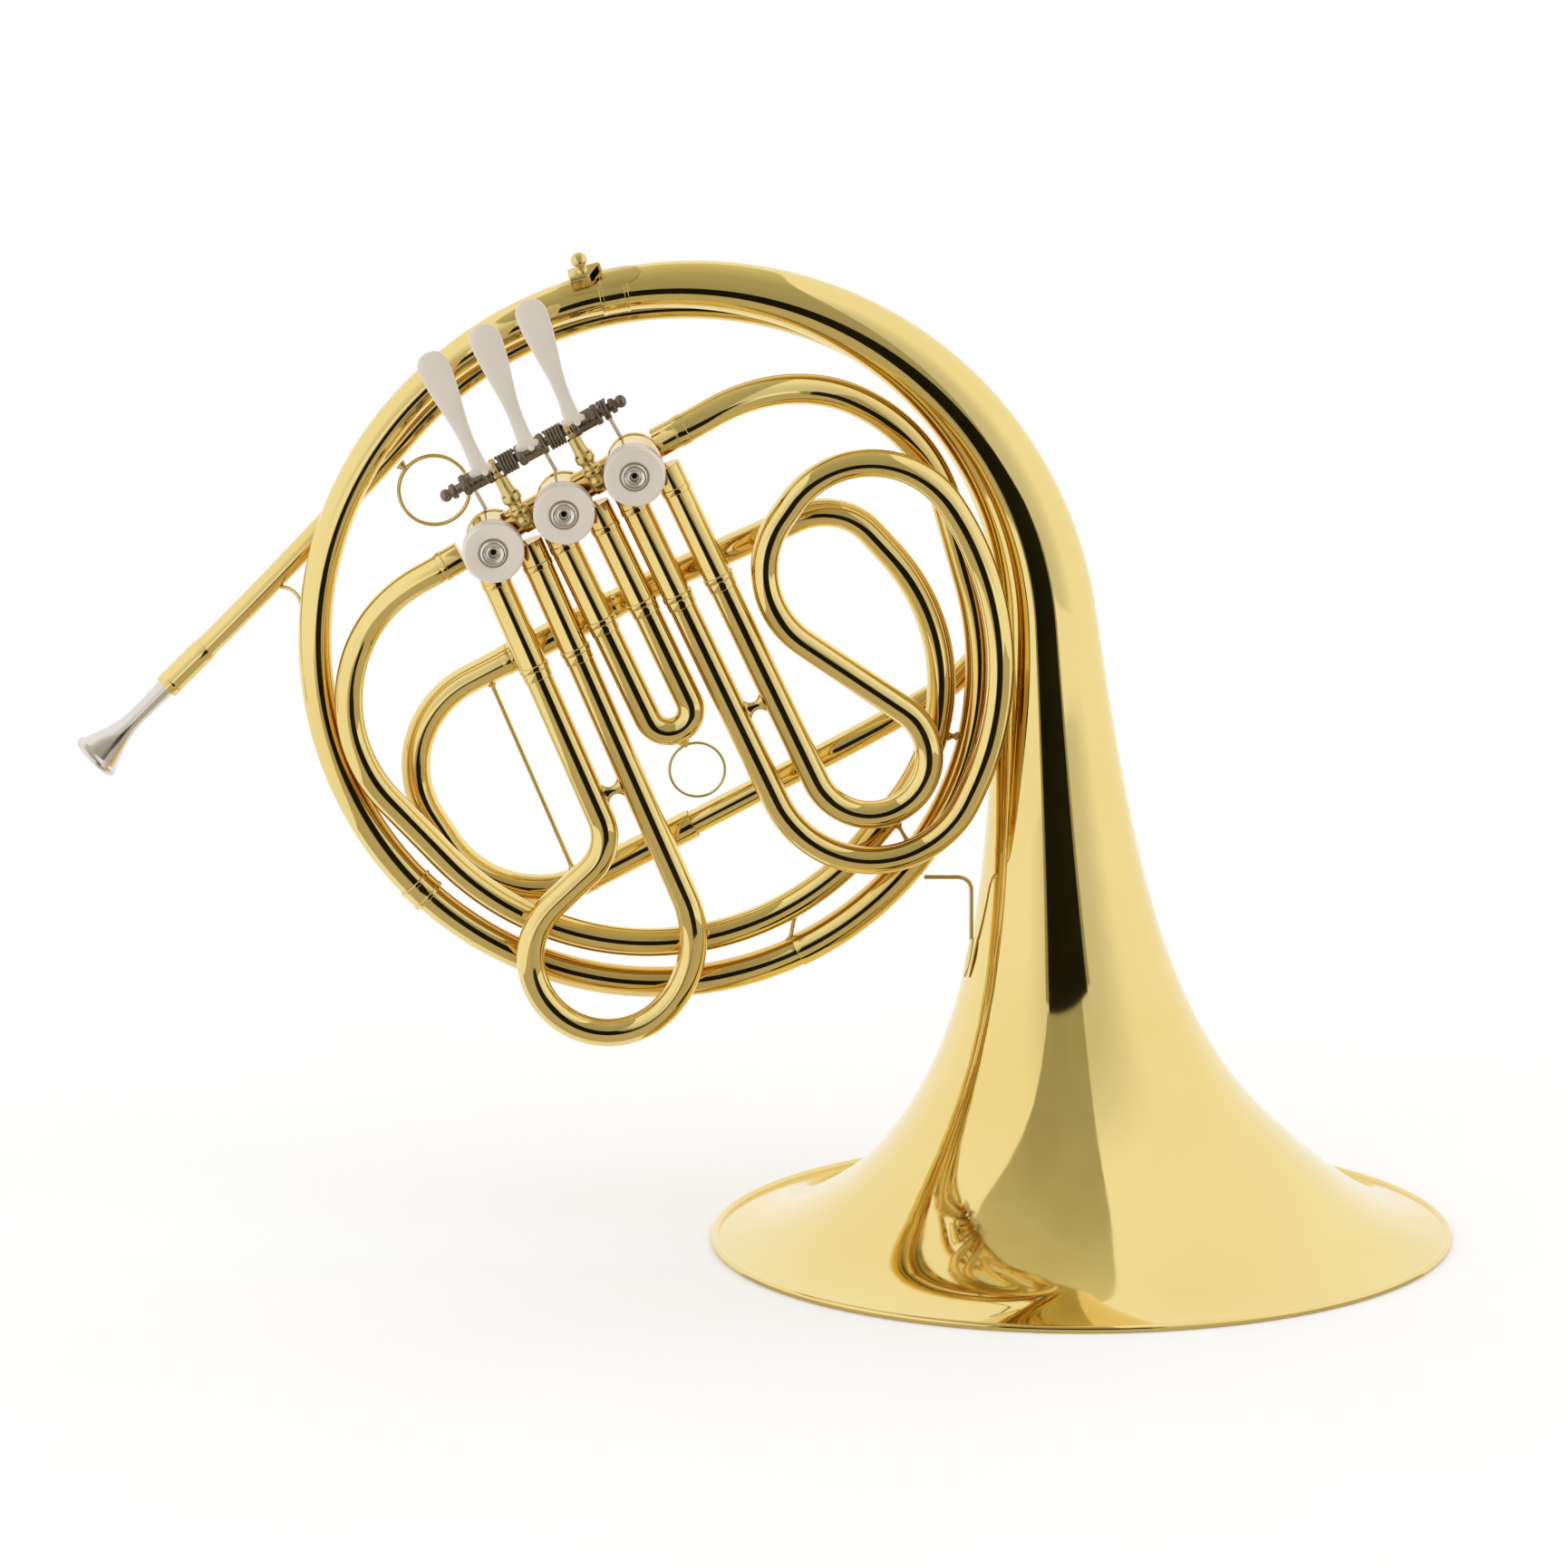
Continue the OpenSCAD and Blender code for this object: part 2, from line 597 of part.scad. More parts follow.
// ---- Valve slides ----
module slide_sleeves(i) {
  color(brass) for (s = [-1, 1])
    at_station(ahead(leg(i, s), knuckle_end), valve_y)
      pipe(seam_depth[i] - knuckle_end, slide_radius, inner_radius + clearance);
}
module slide_inner_tubes(i) {
  color(nickel) for (s = [-1, 1])
    at_station(ahead(leg(i, s), knuckle_end + 1), valve_y)
      pipe(seam_depth[i] - knuckle_end - 1, inner_radius, inner_radius - wall);
}
module slide_crook(i, straight, step) {
  r = slide_route(i);
  from = seam_depth[i];
  to = slide_total(i) - seam_depth[i];
  bend_out = slide_total(i) - straight[1];
  color(brass) loft(r, concat(
    [[from, crook_radius, crook_radius - wall]],
    [for (l = stops(straight[0], bend_out, step)) [l, crook_radius, crook_radius - wall]],
    [[to, crook_radius, crook_radius - wall]]), tube_sides);
}
module slide_1_crook() {
  slide_crook(0, [124, 150], 11);
}
module slide_3_crook() {
  slide_crook(2, [153, 150], 14);
}
module slide_2_crook() {
  color(brass) at_station(ahead(station(valve(1), slide_lean[1] - 90), second_leg), valve_y)
    translate([-leg_offset[1], 0, 0]) rotate([90, 0, 0]) {
      difference() {
        union() {
          rotate_extrude(angle = 180) translate([leg_spacing / 2, 0]) circle(r = crook_radius);
          for (s = [-1, 1]) translate([s * leg_spacing / 2, 0, 0]) rotate([90, 0, 0])
            cylinder(h = second_leg - seam_depth[1], r = crook_radius);
        }
        rotate_extrude(angle = 180) translate([leg_spacing / 2, 0]) circle(r = crook_radius - wall);
        for (s = [-1, 1]) translate([s * leg_spacing / 2, 0.01, 0]) rotate([90, 0, 0])
          cylinder(h = second_leg - seam_depth[1] + 1, r = crook_radius - wall);
      }
    }
}
// Short stay between the two legs of a slide, at a distance below the valve
module leg_stay(i, along) {
  bite = 0.2;
  mid = ahead(station(valve(i), slide_lean[i] - 90), along);
  at_station(beside(mid, -leg_offset[i]), valve_y)
    row_pin(leg_spacing - 2 * crook_radius + 2 * bite, 1.6);
}
module slide_1_brace() {
  color(brass) leg_stay(0, 116);
}
module slide_3_brace() {
  color(brass) leg_stay(2, 113);
}
pull_ring_radius = 11.4;
module pull_ring() {
  mid = ahead(station(valve(1), slide_lean[1] - 90),
    second_leg + leg_spacing / 2 + crook_radius + pull_ring_radius + 0.4);
  color(brass) at_station(beside(mid, -leg_offset[1]), valve_y) rotate([90, 0, 0])
    torus(pull_ring_radius, 0.6);
}

// ---- Holding parts and stays ----
finger_ring_radius = 14.6;
module finger_ring() {
  color(brass) translate([-268.2, -2, 320.5]) rotate([90, 0, 0]) {
    torus(finger_ring_radius, 0.85);
    rotate([0, 0, 142]) translate([finger_ring_radius - 0.5, -1.5, -1.4]) cube([4, 3, 2.8]);
  }
}
brace_start = [-65.5, 157.9, 0];
brace_route = route(brace_start, [[14, 5.5, -90], [21, 0, 0]], [[0, -11]]);
module bell_brace() {
  color(brass) {
    bent_rod(brace_route, 0, total(brace_route[1]), 0.9, 3);
  }
}
// Straight stay between two points, as a round rod
module rod_between(p, q, radius) {
  d = q - p;
  translate(p) rotate([0, acos(d[2] / norm(d)), atan2(d[1], d[0])])
    cylinder(h = norm(d), r = radius, $fn = 16);
}
// Stay from the skin of one bent tube to the skin of another
module stay_across(r, l, radius, other, far, other_radius) {
  p = place(r, l);
  q = place(other, far);
  d = (q - p) / norm(q - p);
  rod_between(p + (radius - 0.4) * d, q - (other_radius - 0.4) * d, 0.9);
}
module tube_stays() {
  color(brass) {
    rod_between(place(lead_route, 44) + [2, -2, -3.6], place(bell_route, 719) + [-5.4, 1, 1.5], 0.9);
    stay_across(return_route, 262, return_radius, bell_route, 1139, ring_radius);
    stay_across(return_route, 300, return_radius, bell_route, 1083, ring_radius + 0.5);
    stay_across(return_route, 354, return_radius, bell_route, 1014, ring_radius);
    translate([-46.4, -11, 123.6]) rotate([0, 12.5, 0]) rotate([0, 0, 16])
      cube([1.4, 4.6, 17.5], center = true);
  }
}
lyre_at = 533;
lyre_roll = -35;
// Frame on top of the tube, turned towards the front
module on_lyre_seat() {
  s = at(bell_route[0], bell_route[1], lyre_at);
  at_station(s, ring_y) rotate([0, 0, lyre_roll]) translate([horn_radius(lyre_at), 0, 0])
    children();
}
module lyre_socket() {
  color(brass) on_lyre_seat() difference() {
    translate([-0.9, -3.6, -6]) cube([8.2, 7.2, 12]);
    translate([1.4, -2.3, -7]) cube([4.6, 4.6, 14]);
  }
}
module lyre_screw() {
  color(brass) on_lyre_seat() rotate([0, 90, 0]) {
    translate([0, 0, 7.4]) cylinder(h = 2, r = 2.6);
    translate([0, 0, 7.4]) cylinder(h = 5.2, r = 1.6);
    translate([0, 0, 14.2]) sphere(r = 3.4);
  }
}

bell_flare();
bell_rim();
bell_tail();
ring_ferrules();
outer_ring_upper();
outer_ring_lower();
ring_sleeve();
third_valve_branch();
leadpipe();
mouthpiece_receiver();
mouthpiece();
tuning_slide_sleeves();
tuning_slide_inner_tubes();
tuning_slide_crook();
tuning_slide_brace();
return_branch();
valve_casing(0);  // valve_casing_1
valve_casing(1);  // valve_casing_2
valve_casing(2);  // valve_casing_3
bearing_plate(0);  // bearing_plate_1
bearing_plate(1);  // bearing_plate_2
bearing_plate(2);  // bearing_plate_3
valve_cap(0);  // valve_cap_1
valve_cap(1);  // valve_cap_2
valve_cap(2);  // valve_cap_3
rotor(0);  // rotor_1
rotor(1);  // rotor_2
rotor(2);  // rotor_3
stop_arm(0);  // stop_arm_1
stop_arm(1);  // stop_arm_2
stop_arm(2);  // stop_arm_3
link(0);  // link_1
link(1);  // link_2
link(2);  // link_3
lever(0);  // lever_1
lever(1);  // lever_2
lever(2);  // lever_3
lever_shaft();
lever_posts();
lever_springs();
stop_corks();
slide_sleeves(0);  // slide_1_sleeves
slide_inner_tubes(0);  // slide_1_inner_tubes
slide_1_crook();
slide_1_brace();
slide_sleeves(1);  // slide_2_sleeves
slide_inner_tubes(1);  // slide_2_inner_tubes
slide_2_crook();
pull_ring();
slide_sleeves(2);  // slide_3_sleeves
slide_inner_tubes(2);  // slide_3_inner_tubes
slide_3_crook();
slide_3_brace();
finger_ring();
bell_brace();
tube_stays();
lyre_socket();
lyre_screw();
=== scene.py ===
"""Looks for a single French horn standing on its bell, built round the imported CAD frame.

Every tube follows a bend table (straight length, bend radius, signed turn) in millimetres,
in the plane of the coil, with its own depth knots. The pieces are smooth sweeps and lathes
along those routes, and each one rides on the body of the CAD nodes that it stands for.
"""

import math

import bpy
import numpy as np
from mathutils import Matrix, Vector


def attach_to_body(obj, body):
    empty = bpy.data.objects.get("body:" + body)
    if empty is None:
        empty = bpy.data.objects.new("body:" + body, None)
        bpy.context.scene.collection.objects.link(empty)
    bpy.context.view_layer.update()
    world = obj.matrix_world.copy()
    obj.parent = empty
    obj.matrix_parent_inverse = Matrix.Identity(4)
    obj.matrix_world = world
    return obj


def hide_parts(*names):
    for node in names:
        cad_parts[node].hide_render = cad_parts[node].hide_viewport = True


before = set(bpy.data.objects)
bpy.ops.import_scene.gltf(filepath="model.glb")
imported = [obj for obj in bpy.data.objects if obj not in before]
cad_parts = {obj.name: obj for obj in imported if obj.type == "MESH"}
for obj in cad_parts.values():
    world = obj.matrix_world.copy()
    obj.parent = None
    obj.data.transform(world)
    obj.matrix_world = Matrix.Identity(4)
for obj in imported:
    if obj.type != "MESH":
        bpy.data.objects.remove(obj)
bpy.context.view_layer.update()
MM = 0.001
WALL = 0.6  # metal sheet and tube walls, in mm


# ---------------------------------------------------------------- materials
def blank_material(name):
    mat = bpy.data.materials.new(name)
    mat.use_nodes = True
    nodes, links = mat.node_tree.nodes, mat.node_tree.links
    nodes.clear()
    return mat, nodes, links, nodes.new("ShaderNodeOutputMaterial")


def new_material(name):
    mat, nodes, links, out = blank_material(name)
    shader = nodes.new("ShaderNodeBsdfPrincipled")
    links.new(shader.outputs[0], out.inputs[0])
    return mat, nodes, links, shader


def noise(nodes, links, coords, scale, detail=4.0, stretch=(1, 1, 1)):
    """Noise in object metres: scale is in features per metre."""
    mapping = nodes.new("ShaderNodeMapping")
    mapping.inputs["Scale"].default_value = stretch
    tex = nodes.new("ShaderNodeTexNoise")
    tex.inputs["Scale"].default_value = scale
    tex.inputs["Detail"].default_value = detail
    links.new(coords.outputs["Object"], mapping.inputs[0])
    links.new(mapping.outputs[0], tex.inputs["Vector"])
    return tex.outputs["Fac"]


def ramp(nodes, links, fac, stops):
    node = nodes.new("ShaderNodeValToRGB")
    elements = node.color_ramp.elements
    while len(elements) < len(stops):
        elements.new(0.5)
    for element, (pos, col) in zip(elements, stops):
        element.position = pos
        element.color = (*col, 1)
    links.new(fac, node.inputs[0])
    return node.outputs[0]


def map_range(nodes, links, value, start, end, low, high):
    """Maps a value from start..end onto low..high."""
    node = nodes.new("ShaderNodeMapRange")
    for socket, number in zip(("From Min", "From Max", "To Min", "To Max"), (start, end, low, high)):
        node.inputs[socket].default_value = number
    links.new(value, node.inputs[0])
    return node


def painted_crevice_shade(nodes, links, colour, painted_shade, strength, reach=0.03):
    """Paints shade into the colour where other metal crowds round, as a deeper tint."""
    shade = nodes.new("ShaderNodeAmbientOcclusion")
    shade.samples = 4
    shade.inputs["Distance"].default_value = reach
    weight = map_range(nodes, links, shade.outputs["AO"], 0.25, 0.95, strength, 0.0)
    mix = nodes.new("ShaderNodeMixRGB")
    mix.inputs[2].default_value = (*painted_shade, 1)
    links.new(weight.outputs[0], mix.inputs[0])
    links.new(colour, mix.inputs[1])
    return mix.outputs[0]


def roughen(nodes, links, shader, height, strength, distance):
    """A bump from the height, in the shader's normal."""
    node = nodes.new("ShaderNodeBump")
    node.inputs["Strength"].default_value = strength
    node.inputs["Distance"].default_value = distance
    links.new(height, node.inputs["Height"])
    links.new(node.outputs[0], shader.inputs["Normal"])


def metal(name, shades, rough, bump, grain, stretch=(1, 1, 1), coat=0.0, metallic=1.0, painted_shade=None):
    """A metal with slow tonal drift, patchy roughness and a fine surface grain."""
    mat, nodes, links, shader = new_material(name)
    coords = nodes.new("ShaderNodeTexCoord")
    drift = noise(nodes, links, coords, 14.0, 3.0)
    colour = ramp(nodes, links, drift, shades)
    # painted shade: a deeper tint where other metal crowds round
    if painted_shade:
        colour = painted_crevice_shade(nodes, links, colour, *painted_shade)
    links.new(colour, shader.inputs["Base Color"])
    patches = noise(nodes, links, coords, 55.0, 5.0)
    links.new(map_range(nodes, links, patches, 0.3, 0.7, *rough).outputs[0], shader.inputs["Roughness"])
    shader.inputs["Metallic"].default_value = metallic
    shader.inputs["Coat Weight"].default_value = coat
    shader.inputs["Coat Roughness"].default_value = 0.04
    fine = noise(nodes, links, coords, grain, 2.0, stretch)
    roughen(nodes, links, shader, fine, *bump)
    return mat


# Polished, lacquered brass, with painted shade between crowded tubes: the bell has it without that painted
# shade
BRASS_SHADES = [(0.25, (0.82, 0.635, 0.235)), (0.5, (0.84, 0.665, 0.26)), (0.75, (0.86, 0.69, 0.285))]
BRASS_FINISH = {"rough": (0.035, 0.075), "bump": (0.03, 0.0004), "grain": 60.0, "coat": 0.08}
BELL_BRASS = metal("lacquered_bell_brass", BRASS_SHADES, **BRASS_FINISH)
BRASS = metal("lacquered_brass", BRASS_SHADES, painted_shade=((0.62, 0.33, 0.045), 0.75), **BRASS_FINISH)
# Duller brass for the fittings, with painted shade where other metal crowds round
AGED_BRASS_WITH_PAINTED_SHADE = metal(
    "brass_fittings",
    [(0.3, (0.66, 0.49, 0.18)), (0.55, (0.78, 0.61, 0.25)), (0.75, (0.84, 0.67, 0.30))],
    rough=(0.14, 0.26),
    bump=(0.08, 0.0003),
    grain=260.0,
    coat=0.1,
    painted_shade=((0.5, 0.3, 0.07), 0.5),
)
NICKEL = metal(
    "satin_nickel_silver",
    [(0.3, (0.80, 0.725, 0.635)), (0.5, (0.84, 0.765, 0.675)), (0.75, (0.87, 0.80, 0.715))],
    rough=(0.40, 0.52),
    bump=(0.10, 0.0002),
    grain=700.0,
    stretch=(1, 1, 9),
    metallic=0.4,
)
# Near-black painted shade, set inside the holes of the valve caps and the lyre socket
PAINTED_HOLE_SHADE = metal(
    "painted_shade_in_bores",
    [(0.3, (0.012, 0.01, 0.008)), (0.75, (0.025, 0.021, 0.016))],
    rough=(0.35, 0.5),
    bump=(0.05, 0.0002),
    grain=400.0,
)
BRIGHT_NICKEL = metal(
    "polished_nickel_silver",
    [(0.3, (0.70, 0.655, 0.60)), (0.75, (0.80, 0.76, 0.72))],
    rough=(0.15, 0.24),
    bump=(0.05, 0.0002),
    grain=400.0,
)
STEEL = metal(
    "dark_spring_steel",
    [(0.3, (0.17, 0.14, 0.105)), (0.5, (0.29, 0.25, 0.19)), (0.72, (0.46, 0.41, 0.33))],
    rough=(0.2, 0.36),
    bump=(0.5, 0.0007),
    grain=420.0,
)


def cork_material():
    mat, nodes, links, shader = new_material("cork")
    coords = nodes.new("ShaderNodeTexCoord")
    grain = noise(nodes, links, coords, 1400.0, 6.0)
    shades = [(0.35, (0.20, 0.10, 0.05)), (0.5, (0.46, 0.29, 0.16)), (0.7, (0.60, 0.42, 0.26))]
    links.new(ramp(nodes, links, grain, shades), shader.inputs["Base Color"])
    shader.inputs["Roughness"].default_value = 0.85
    roughen(nodes, links, shader, grain, 0.5, 0.0002)
    return mat


CORK = cork_material()


# ---------------------------------------------------------------- routes
def vec(*xyz):
    return np.array(xyz, dtype=float)


def heading_vec(h):
    return vec(math.cos(math.radians(h)), math.sin(math.radians(h)))


def right_vec(h):
    return vec(math.sin(math.radians(h)), -math.cos(math.radians(h)))


def in_space(flat, y=0.0):
    """A point or direction of the coil's plane, at depth y."""
    return vec(flat[0], y, flat[1])


def cross_of(a, b):
    return a[0] * b[1] - a[1] * b[0]


def moved(station, length, turn):
    """A station (x, z, heading) carried along an arc that turns by turn degrees."""
    point, h = vec(*station[:2]), station[2]
    if turn == 0:
        point = point + length * heading_vec(h)
    else:
        rho = length / math.radians(turn)
        point = point - rho * right_vec(h) + rho * right_vec(h + turn)
    return (point[0], point[1], h + turn)


def ahead(station, length):
    return moved(station, length, 0)


def beside(station, offset):
    point = vec(*station[:2]) + offset * right_vec(station[2])
    return (point[0], point[1], station[2])


def turned_back(station):
    return (station[0], station[1], station[2] + 180)


def pieces_of(table):
    """Bend table rows (straight, radius, turn) as (length, turn) pieces."""
    out = []
    for straight, radius, turn in table:
        if straight > 0:
            out.append((straight, 0))
        if turn:
            out.append((radius * math.radians(abs(turn)), turn))
    return out


def end_of(station, pieces):
    for length, turn in pieces:
        station = moved(station, length, turn)
    return station


def closed_on(start, table, goal, radius, side):
    """The table with the last straight, bend and straight that bring it onto goal."""
    s = end_of(start, pieces_of(table))
    raw = (goal[2] - s[2]) % 360
    turn = raw if side > 0 else raw - 360
    gap = vec(*goal[:2]) - vec(*s[:2])
    reach = cross_of(gap, heading_vec(goal[2])) / cross_of(heading_vec(s[2]), heading_vec(goal[2]))
    row = (reach - radius * math.tan(math.radians(abs(turn)) / 2), radius, turn)
    done = end_of(s, pieces_of([row]))
    rest = float((vec(*goal[:2]) - vec(*done[:2])) @ heading_vec(goal[2]))
    return table + [row] + ([(rest, 0, 0)] if rest > 0.01 else [])


def smooth(t):
    t = min(1.0, max(0.0, t))
    return t * t * (3 - 2 * t)


class Route:
    """A bent centreline: stations in the coil's plane, and depth from smooth knots."""

    def __init__(self, start, table, knots):
        self.start, self.pieces, self.knots = start, pieces_of(table), knots
        self.length = sum(p[0] for p in self.pieces)

    def station(self, l):
        s, left = self.start, l
        for i, (length, turn) in enumerate(self.pieces):
            if left <= length or i == len(self.pieces) - 1:
                return moved(s, left, turn * left / length)
            s, left = moved(s, length, turn), left - length

    def depth(self, l):
        y = self.knots[0][1]
        for (l0, y0), (l1, y1) in zip(self.knots, self.knots[1:]):
            if l >= l0:
                y = y0 + (y1 - y0) * smooth((l - l0) / (l1 - l0))
        return y

    def place(self, l):
        x, z, _ = self.station(l)
        return vec(x, self.depth(l), z)

    def frame(self, l):
        x, z, h = self.station(l)
        dy = self.depth(l + 0.5) - self.depth(l - 0.5)
        t = in_space(heading_vec(h), dy)
        t /= np.linalg.norm(t)
        a = in_space(right_vec(h))
        return vec(x, self.depth(l), z), a, np.cross(t, a)

    def stops(self, start, end, step):
        """Stations to sample: both ends, and even ones between, at most step apart."""
        marks = {start, end}
        marks.update(np.linspace(start, end, max(2, int((end - start) / step) + 2)))
        return sorted(marks)


class Axis:
    """A straight centreline from a point along a direction."""

    def __init__(self, point, direction):
        self.point = np.array(point, dtype=float)
        self.dir = np.array(direction, dtype=float) / np.linalg.norm(direction)
        ref = vec(0, 1, 0) if abs(self.dir[1]) < 0.9 else vec(0, 0, 1)
        self.a = np.cross(self.dir, ref)
        self.a /= np.linalg.norm(self.a)
        self.b = np.cross(self.dir, self.a)

    def frame(self, l):
        return self.point + l * self.dir, self.a, self.b


# ---------------------------------------------------------------- meshes
def mesh_object(name, verts, faces, material):
    """An object from points in metres."""
    mesh = bpy.data.meshes.new(name)
    mesh.from_pydata(verts, [], faces)
    mesh.validate()
    mesh.materials.append(material)
    obj = bpy.data.objects.new(name, mesh)
    bpy.context.scene.collection.objects.link(obj)
    return obj


def show(name, verts, faces, material, body, nodes=(), crease=40):
    """Makes a smooth-shaded piece from points in millimetres, riding on a CAD body."""
    obj = mesh_object(name, [tuple(v * MM) for v in verts], faces, material)
    obj.data.polygons.foreach_set("use_smooth", [True] * len(obj.data.polygons))
    obj.data.set_sharp_from_angle(angle=math.radians(crease))
    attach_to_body(obj, body)
    if nodes:
        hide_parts(*nodes)
    return obj


def strip(base, rows, sides, closed):
    """Quads between consecutive rings of sides points."""
    faces = []
    last = rows if closed else rows - 1
    for j in range(last):
        k = (j + 1) % rows
        for i in range(sides):
            n = (i + 1) % sides
            faces.append(
                (base + j * sides + i, base + j * sides + n, base + k * sides + n, base + k * sides + i)
            )
    return faces


def lids(rows, sides):
    """The two flat ends of a strip."""
    top = (rows - 1) * sides
    return [tuple(range(sides))[::-1], tuple(top + i for i in range(sides))]


def skin(path, rows, sides, closed=False):
    """Verts and faces of rings of (length, radius) round a path."""
    turn = 2 * math.pi * np.arange(sides) / sides
    cos, sin = np.cos(turn)[:, None], np.sin(turn)[:, None]
    verts = []
    for l, r in rows:
        c, a, b = path.frame(l)
        verts.append(c + r * (cos * a + sin * b))
    faces = strip(0, len(rows), sides, closed) + ([] if closed else lids(len(rows), sides))
    return np.concatenate(verts), faces


def join(parts):
    """Several (verts, faces) as one."""
    verts, faces, base = [], [], 0
    for v, f in parts:
        verts.append(np.asarray(v, dtype=float))
        faces += [tuple(i + base for i in face) for face in f]
        base += len(v)
    return np.concatenate(verts), faces


def eased(profile, radius=0.25, closed=False):
    """A profile of (length, radius) points with its corners rounded off."""
    pts = [vec(*p) for p in profile]
    out = []
    n = len(pts)
    for i, p in enumerate(pts):
        if not closed and i in (0, n - 1):
            out.append(tuple(p))
            continue
        q, s = pts[i - 1], pts[(i + 1) % n]
        dq, ds = np.linalg.norm(q - p), np.linalg.norm(s - p)
        if dq < 1e-6 or ds < 1e-6:
            out.append(tuple(p))
            continue
        uq, us = (q - p) / dq, (s - p) / ds
        if uq @ us < -0.98:
            out.append(tuple(p))
            continue
        cut = min(radius, 0.45 * dq, 0.45 * ds)
        for t in (0.0, 0.25, 0.5, 0.75, 1.0):
            w = (1 - t) * (1 - t), 2 * t * (1 - t), t * t
            out.append(tuple(w[0] * (p + cut * uq) + w[1] * p + w[2] * (p + cut * us)))
    return out


def lathe(path, profile, sides=64, radius=0.25, closed=False):
    return skin(path, eased(profile, radius, closed), sides, closed)


def tube(route, start, end, radius, step=3.0, sides=48, wall=WALL, depth=14.0):
    """A tube along a route, open for a little way in at both ends."""
    outer = [(l, radius) for l in route.stops(start, end, step)]
    rows = [(start + depth, radius - wall), (start, radius - wall)] + outer
    rows += [(end, radius - wall), (end - depth, radius - wall)]
    return skin(route, eased(rows, 0.12), sides)


def collar(route, start, end, tube_radius, proud, bead=None, sides=48):
    """A ferrule round a tube: a slim sleeve with an optional raised bead at each end."""
    inner, outer = tube_radius - 0.3, tube_radius + proud
    if bead is None:
        rows = [(start, inner), (start, outer), (end, outer), (end, inner)]
    else:
        lip = outer + bead
        wide = min(1.6, (end - start) / 3)
        rows = [
            (start, inner), (start, lip), (start + wide, lip), (start + wide, outer),
            (end - wide, outer), (end - wide, lip), (end, lip), (end, inner),
        ]
    return lathe(route, rows, sides, 0.3, closed=True)


def wire(points, radius, sides=12):
    """A round wire through a list of points, cut square at both ends."""
    pts = [np.array(p, dtype=float) for p in points]
    verts = []
    side = None
    for i, p in enumerate(pts):
        t = pts[min(i + 1, len(pts) - 1)] - pts[max(i - 1, 0)]
        t /= np.linalg.norm(t)
        if side is None:
            side = np.cross(t, vec(0.3, 0.9, 0.2))
        side = side - (side @ t) * t
        side /= np.linalg.norm(side)
        other = np.cross(t, side)
        turn = 2 * math.pi * np.arange(sides) / sides
        verts.append(p + radius * (np.cos(turn)[:, None] * side + np.sin(turn)[:, None] * other))
    return np.concatenate(verts), strip(0, len(pts), sides, False) + lids(len(pts), sides)


def ring_wire(center, u, v, major, minor, sides=12, steps=96):
    """A closed ring of round wire in the plane of u and v."""
    normal = np.cross(u, v)
    verts = []
    for k in range(steps):
        t = 2 * math.pi * k / steps
        out = math.cos(t) * u + math.sin(t) * v
        for j in range(sides):
            w = 2 * math.pi * j / sides
            ring = center + out * (major + minor * math.cos(w))
            verts.append(ring + normal * minor * math.sin(w))
    return np.array(verts), strip(0, steps, sides, True)


def section_loft(sections, power, sides=32):
    """Loft of rounded boxes: each section is (centre, u, v, half u, half v)."""
    verts = []
    for c, u, v, hu, hv in sections:
        for j in range(sides):
            w = 2 * math.pi * (j + 0.5) / sides
            cu, cv = math.cos(w), math.sin(w)
            pu = math.copysign(abs(cu) ** power, cu)
            pv = math.copysign(abs(cv) ** power, cv)
            verts.append(c + hu * pu * u + hv * pv * v)
    return np.array(verts), strip(0, len(sections), sides, False) + lids(len(sections), sides)


# ---------------------------------------------------------------- layout (mm)
# Depths of the three layers of tubing
VALVE_Y, RING_Y, TUNING_Y = -27.0, -8.0, 8.0
RIM_WIRE, BELL_RADIUS = 1.6, 152.5
# Outer radii of the tubes, and the bore of the slides' outer tubes
RING, SLEEVE, CROOK, RETURN, TUNING, INNER = 6.4, 6.3, 5.8, 5.9, 6.2, 5.6
RING_WIDE = RING + 0.5
TUNING_SLEEVE = 48.0
# Height and reach of the three curves that add up to the bell's flare
FLARE = [(49, 306), (90.5, 51.5), (13, 4)]

UPPER_SEAM = (-236.5, 247.0, 28.0)
LOWER_SEAM = (-204.5, 153.4, 208.0)
LEAD_START = (-364.8, 250.0, 45.5)
lead = Route(
    LEAD_START,
    closed_on(LEAD_START, [(0, 2046, 3.5), (3.5, 146.5, -86), (0, 116.5, -24.5)], LOWER_SEAM, 60.5, -1),
    [(0, 5), (110, 5), (230, 12), (350, 23), (445, 23), (560, TUNING_Y)],
)
LEAD_END = lead.length - TUNING_SLEEVE
crook = Route(
    LOWER_SEAM,
    closed_on(LOWER_SEAM, [(0, 45, -85.5)], UPPER_SEAM, 41.5, -1),
    [(0, TUNING_Y)],
)
back = Route(
    UPPER_SEAM,
    [(133.5, 25.5, -76), (12, 82.5, -81), (19, 116.5, -98.5), (32, 63.5, -101.5), (20, 0, 0)],
    [(0, TUNING_Y), (60, TUNING_Y), (150, -9), (300, -10), (500, -12.5), (570, -17), (620, -18),
     (668, VALVE_Y)],
)
bell = Route(
    (0.0, 0.0, 90.0),
    [(0, 600, 3.5), (228.5, 155.5, 32.5), (0, 151, 175.5), (0, 139.5, 56), (0, 134.5, 108),
     (35, 68, 103), (26, 0, 0)],
    [(0, 0), (300, 0), (560, RING_Y), (1200, RING_Y), (1300, -10), (1378, VALVE_Y)],
)
FERRULE, FERRULE_END, SEAM, SEAM_END = 517.0, 529.0, 846.0, 855.0
SLEEVE_FROM, SLEEVE_TO = 1019.0, 1087.0
OUTLET_STUB = 13.0
BRANCH_END = bell.length - OUTLET_STUB


def horn_radius(l):
    l = l - RIM_WIRE
    return max(RING_WIDE, sum(height * math.exp(-l / reach) for height, reach in FLARE))


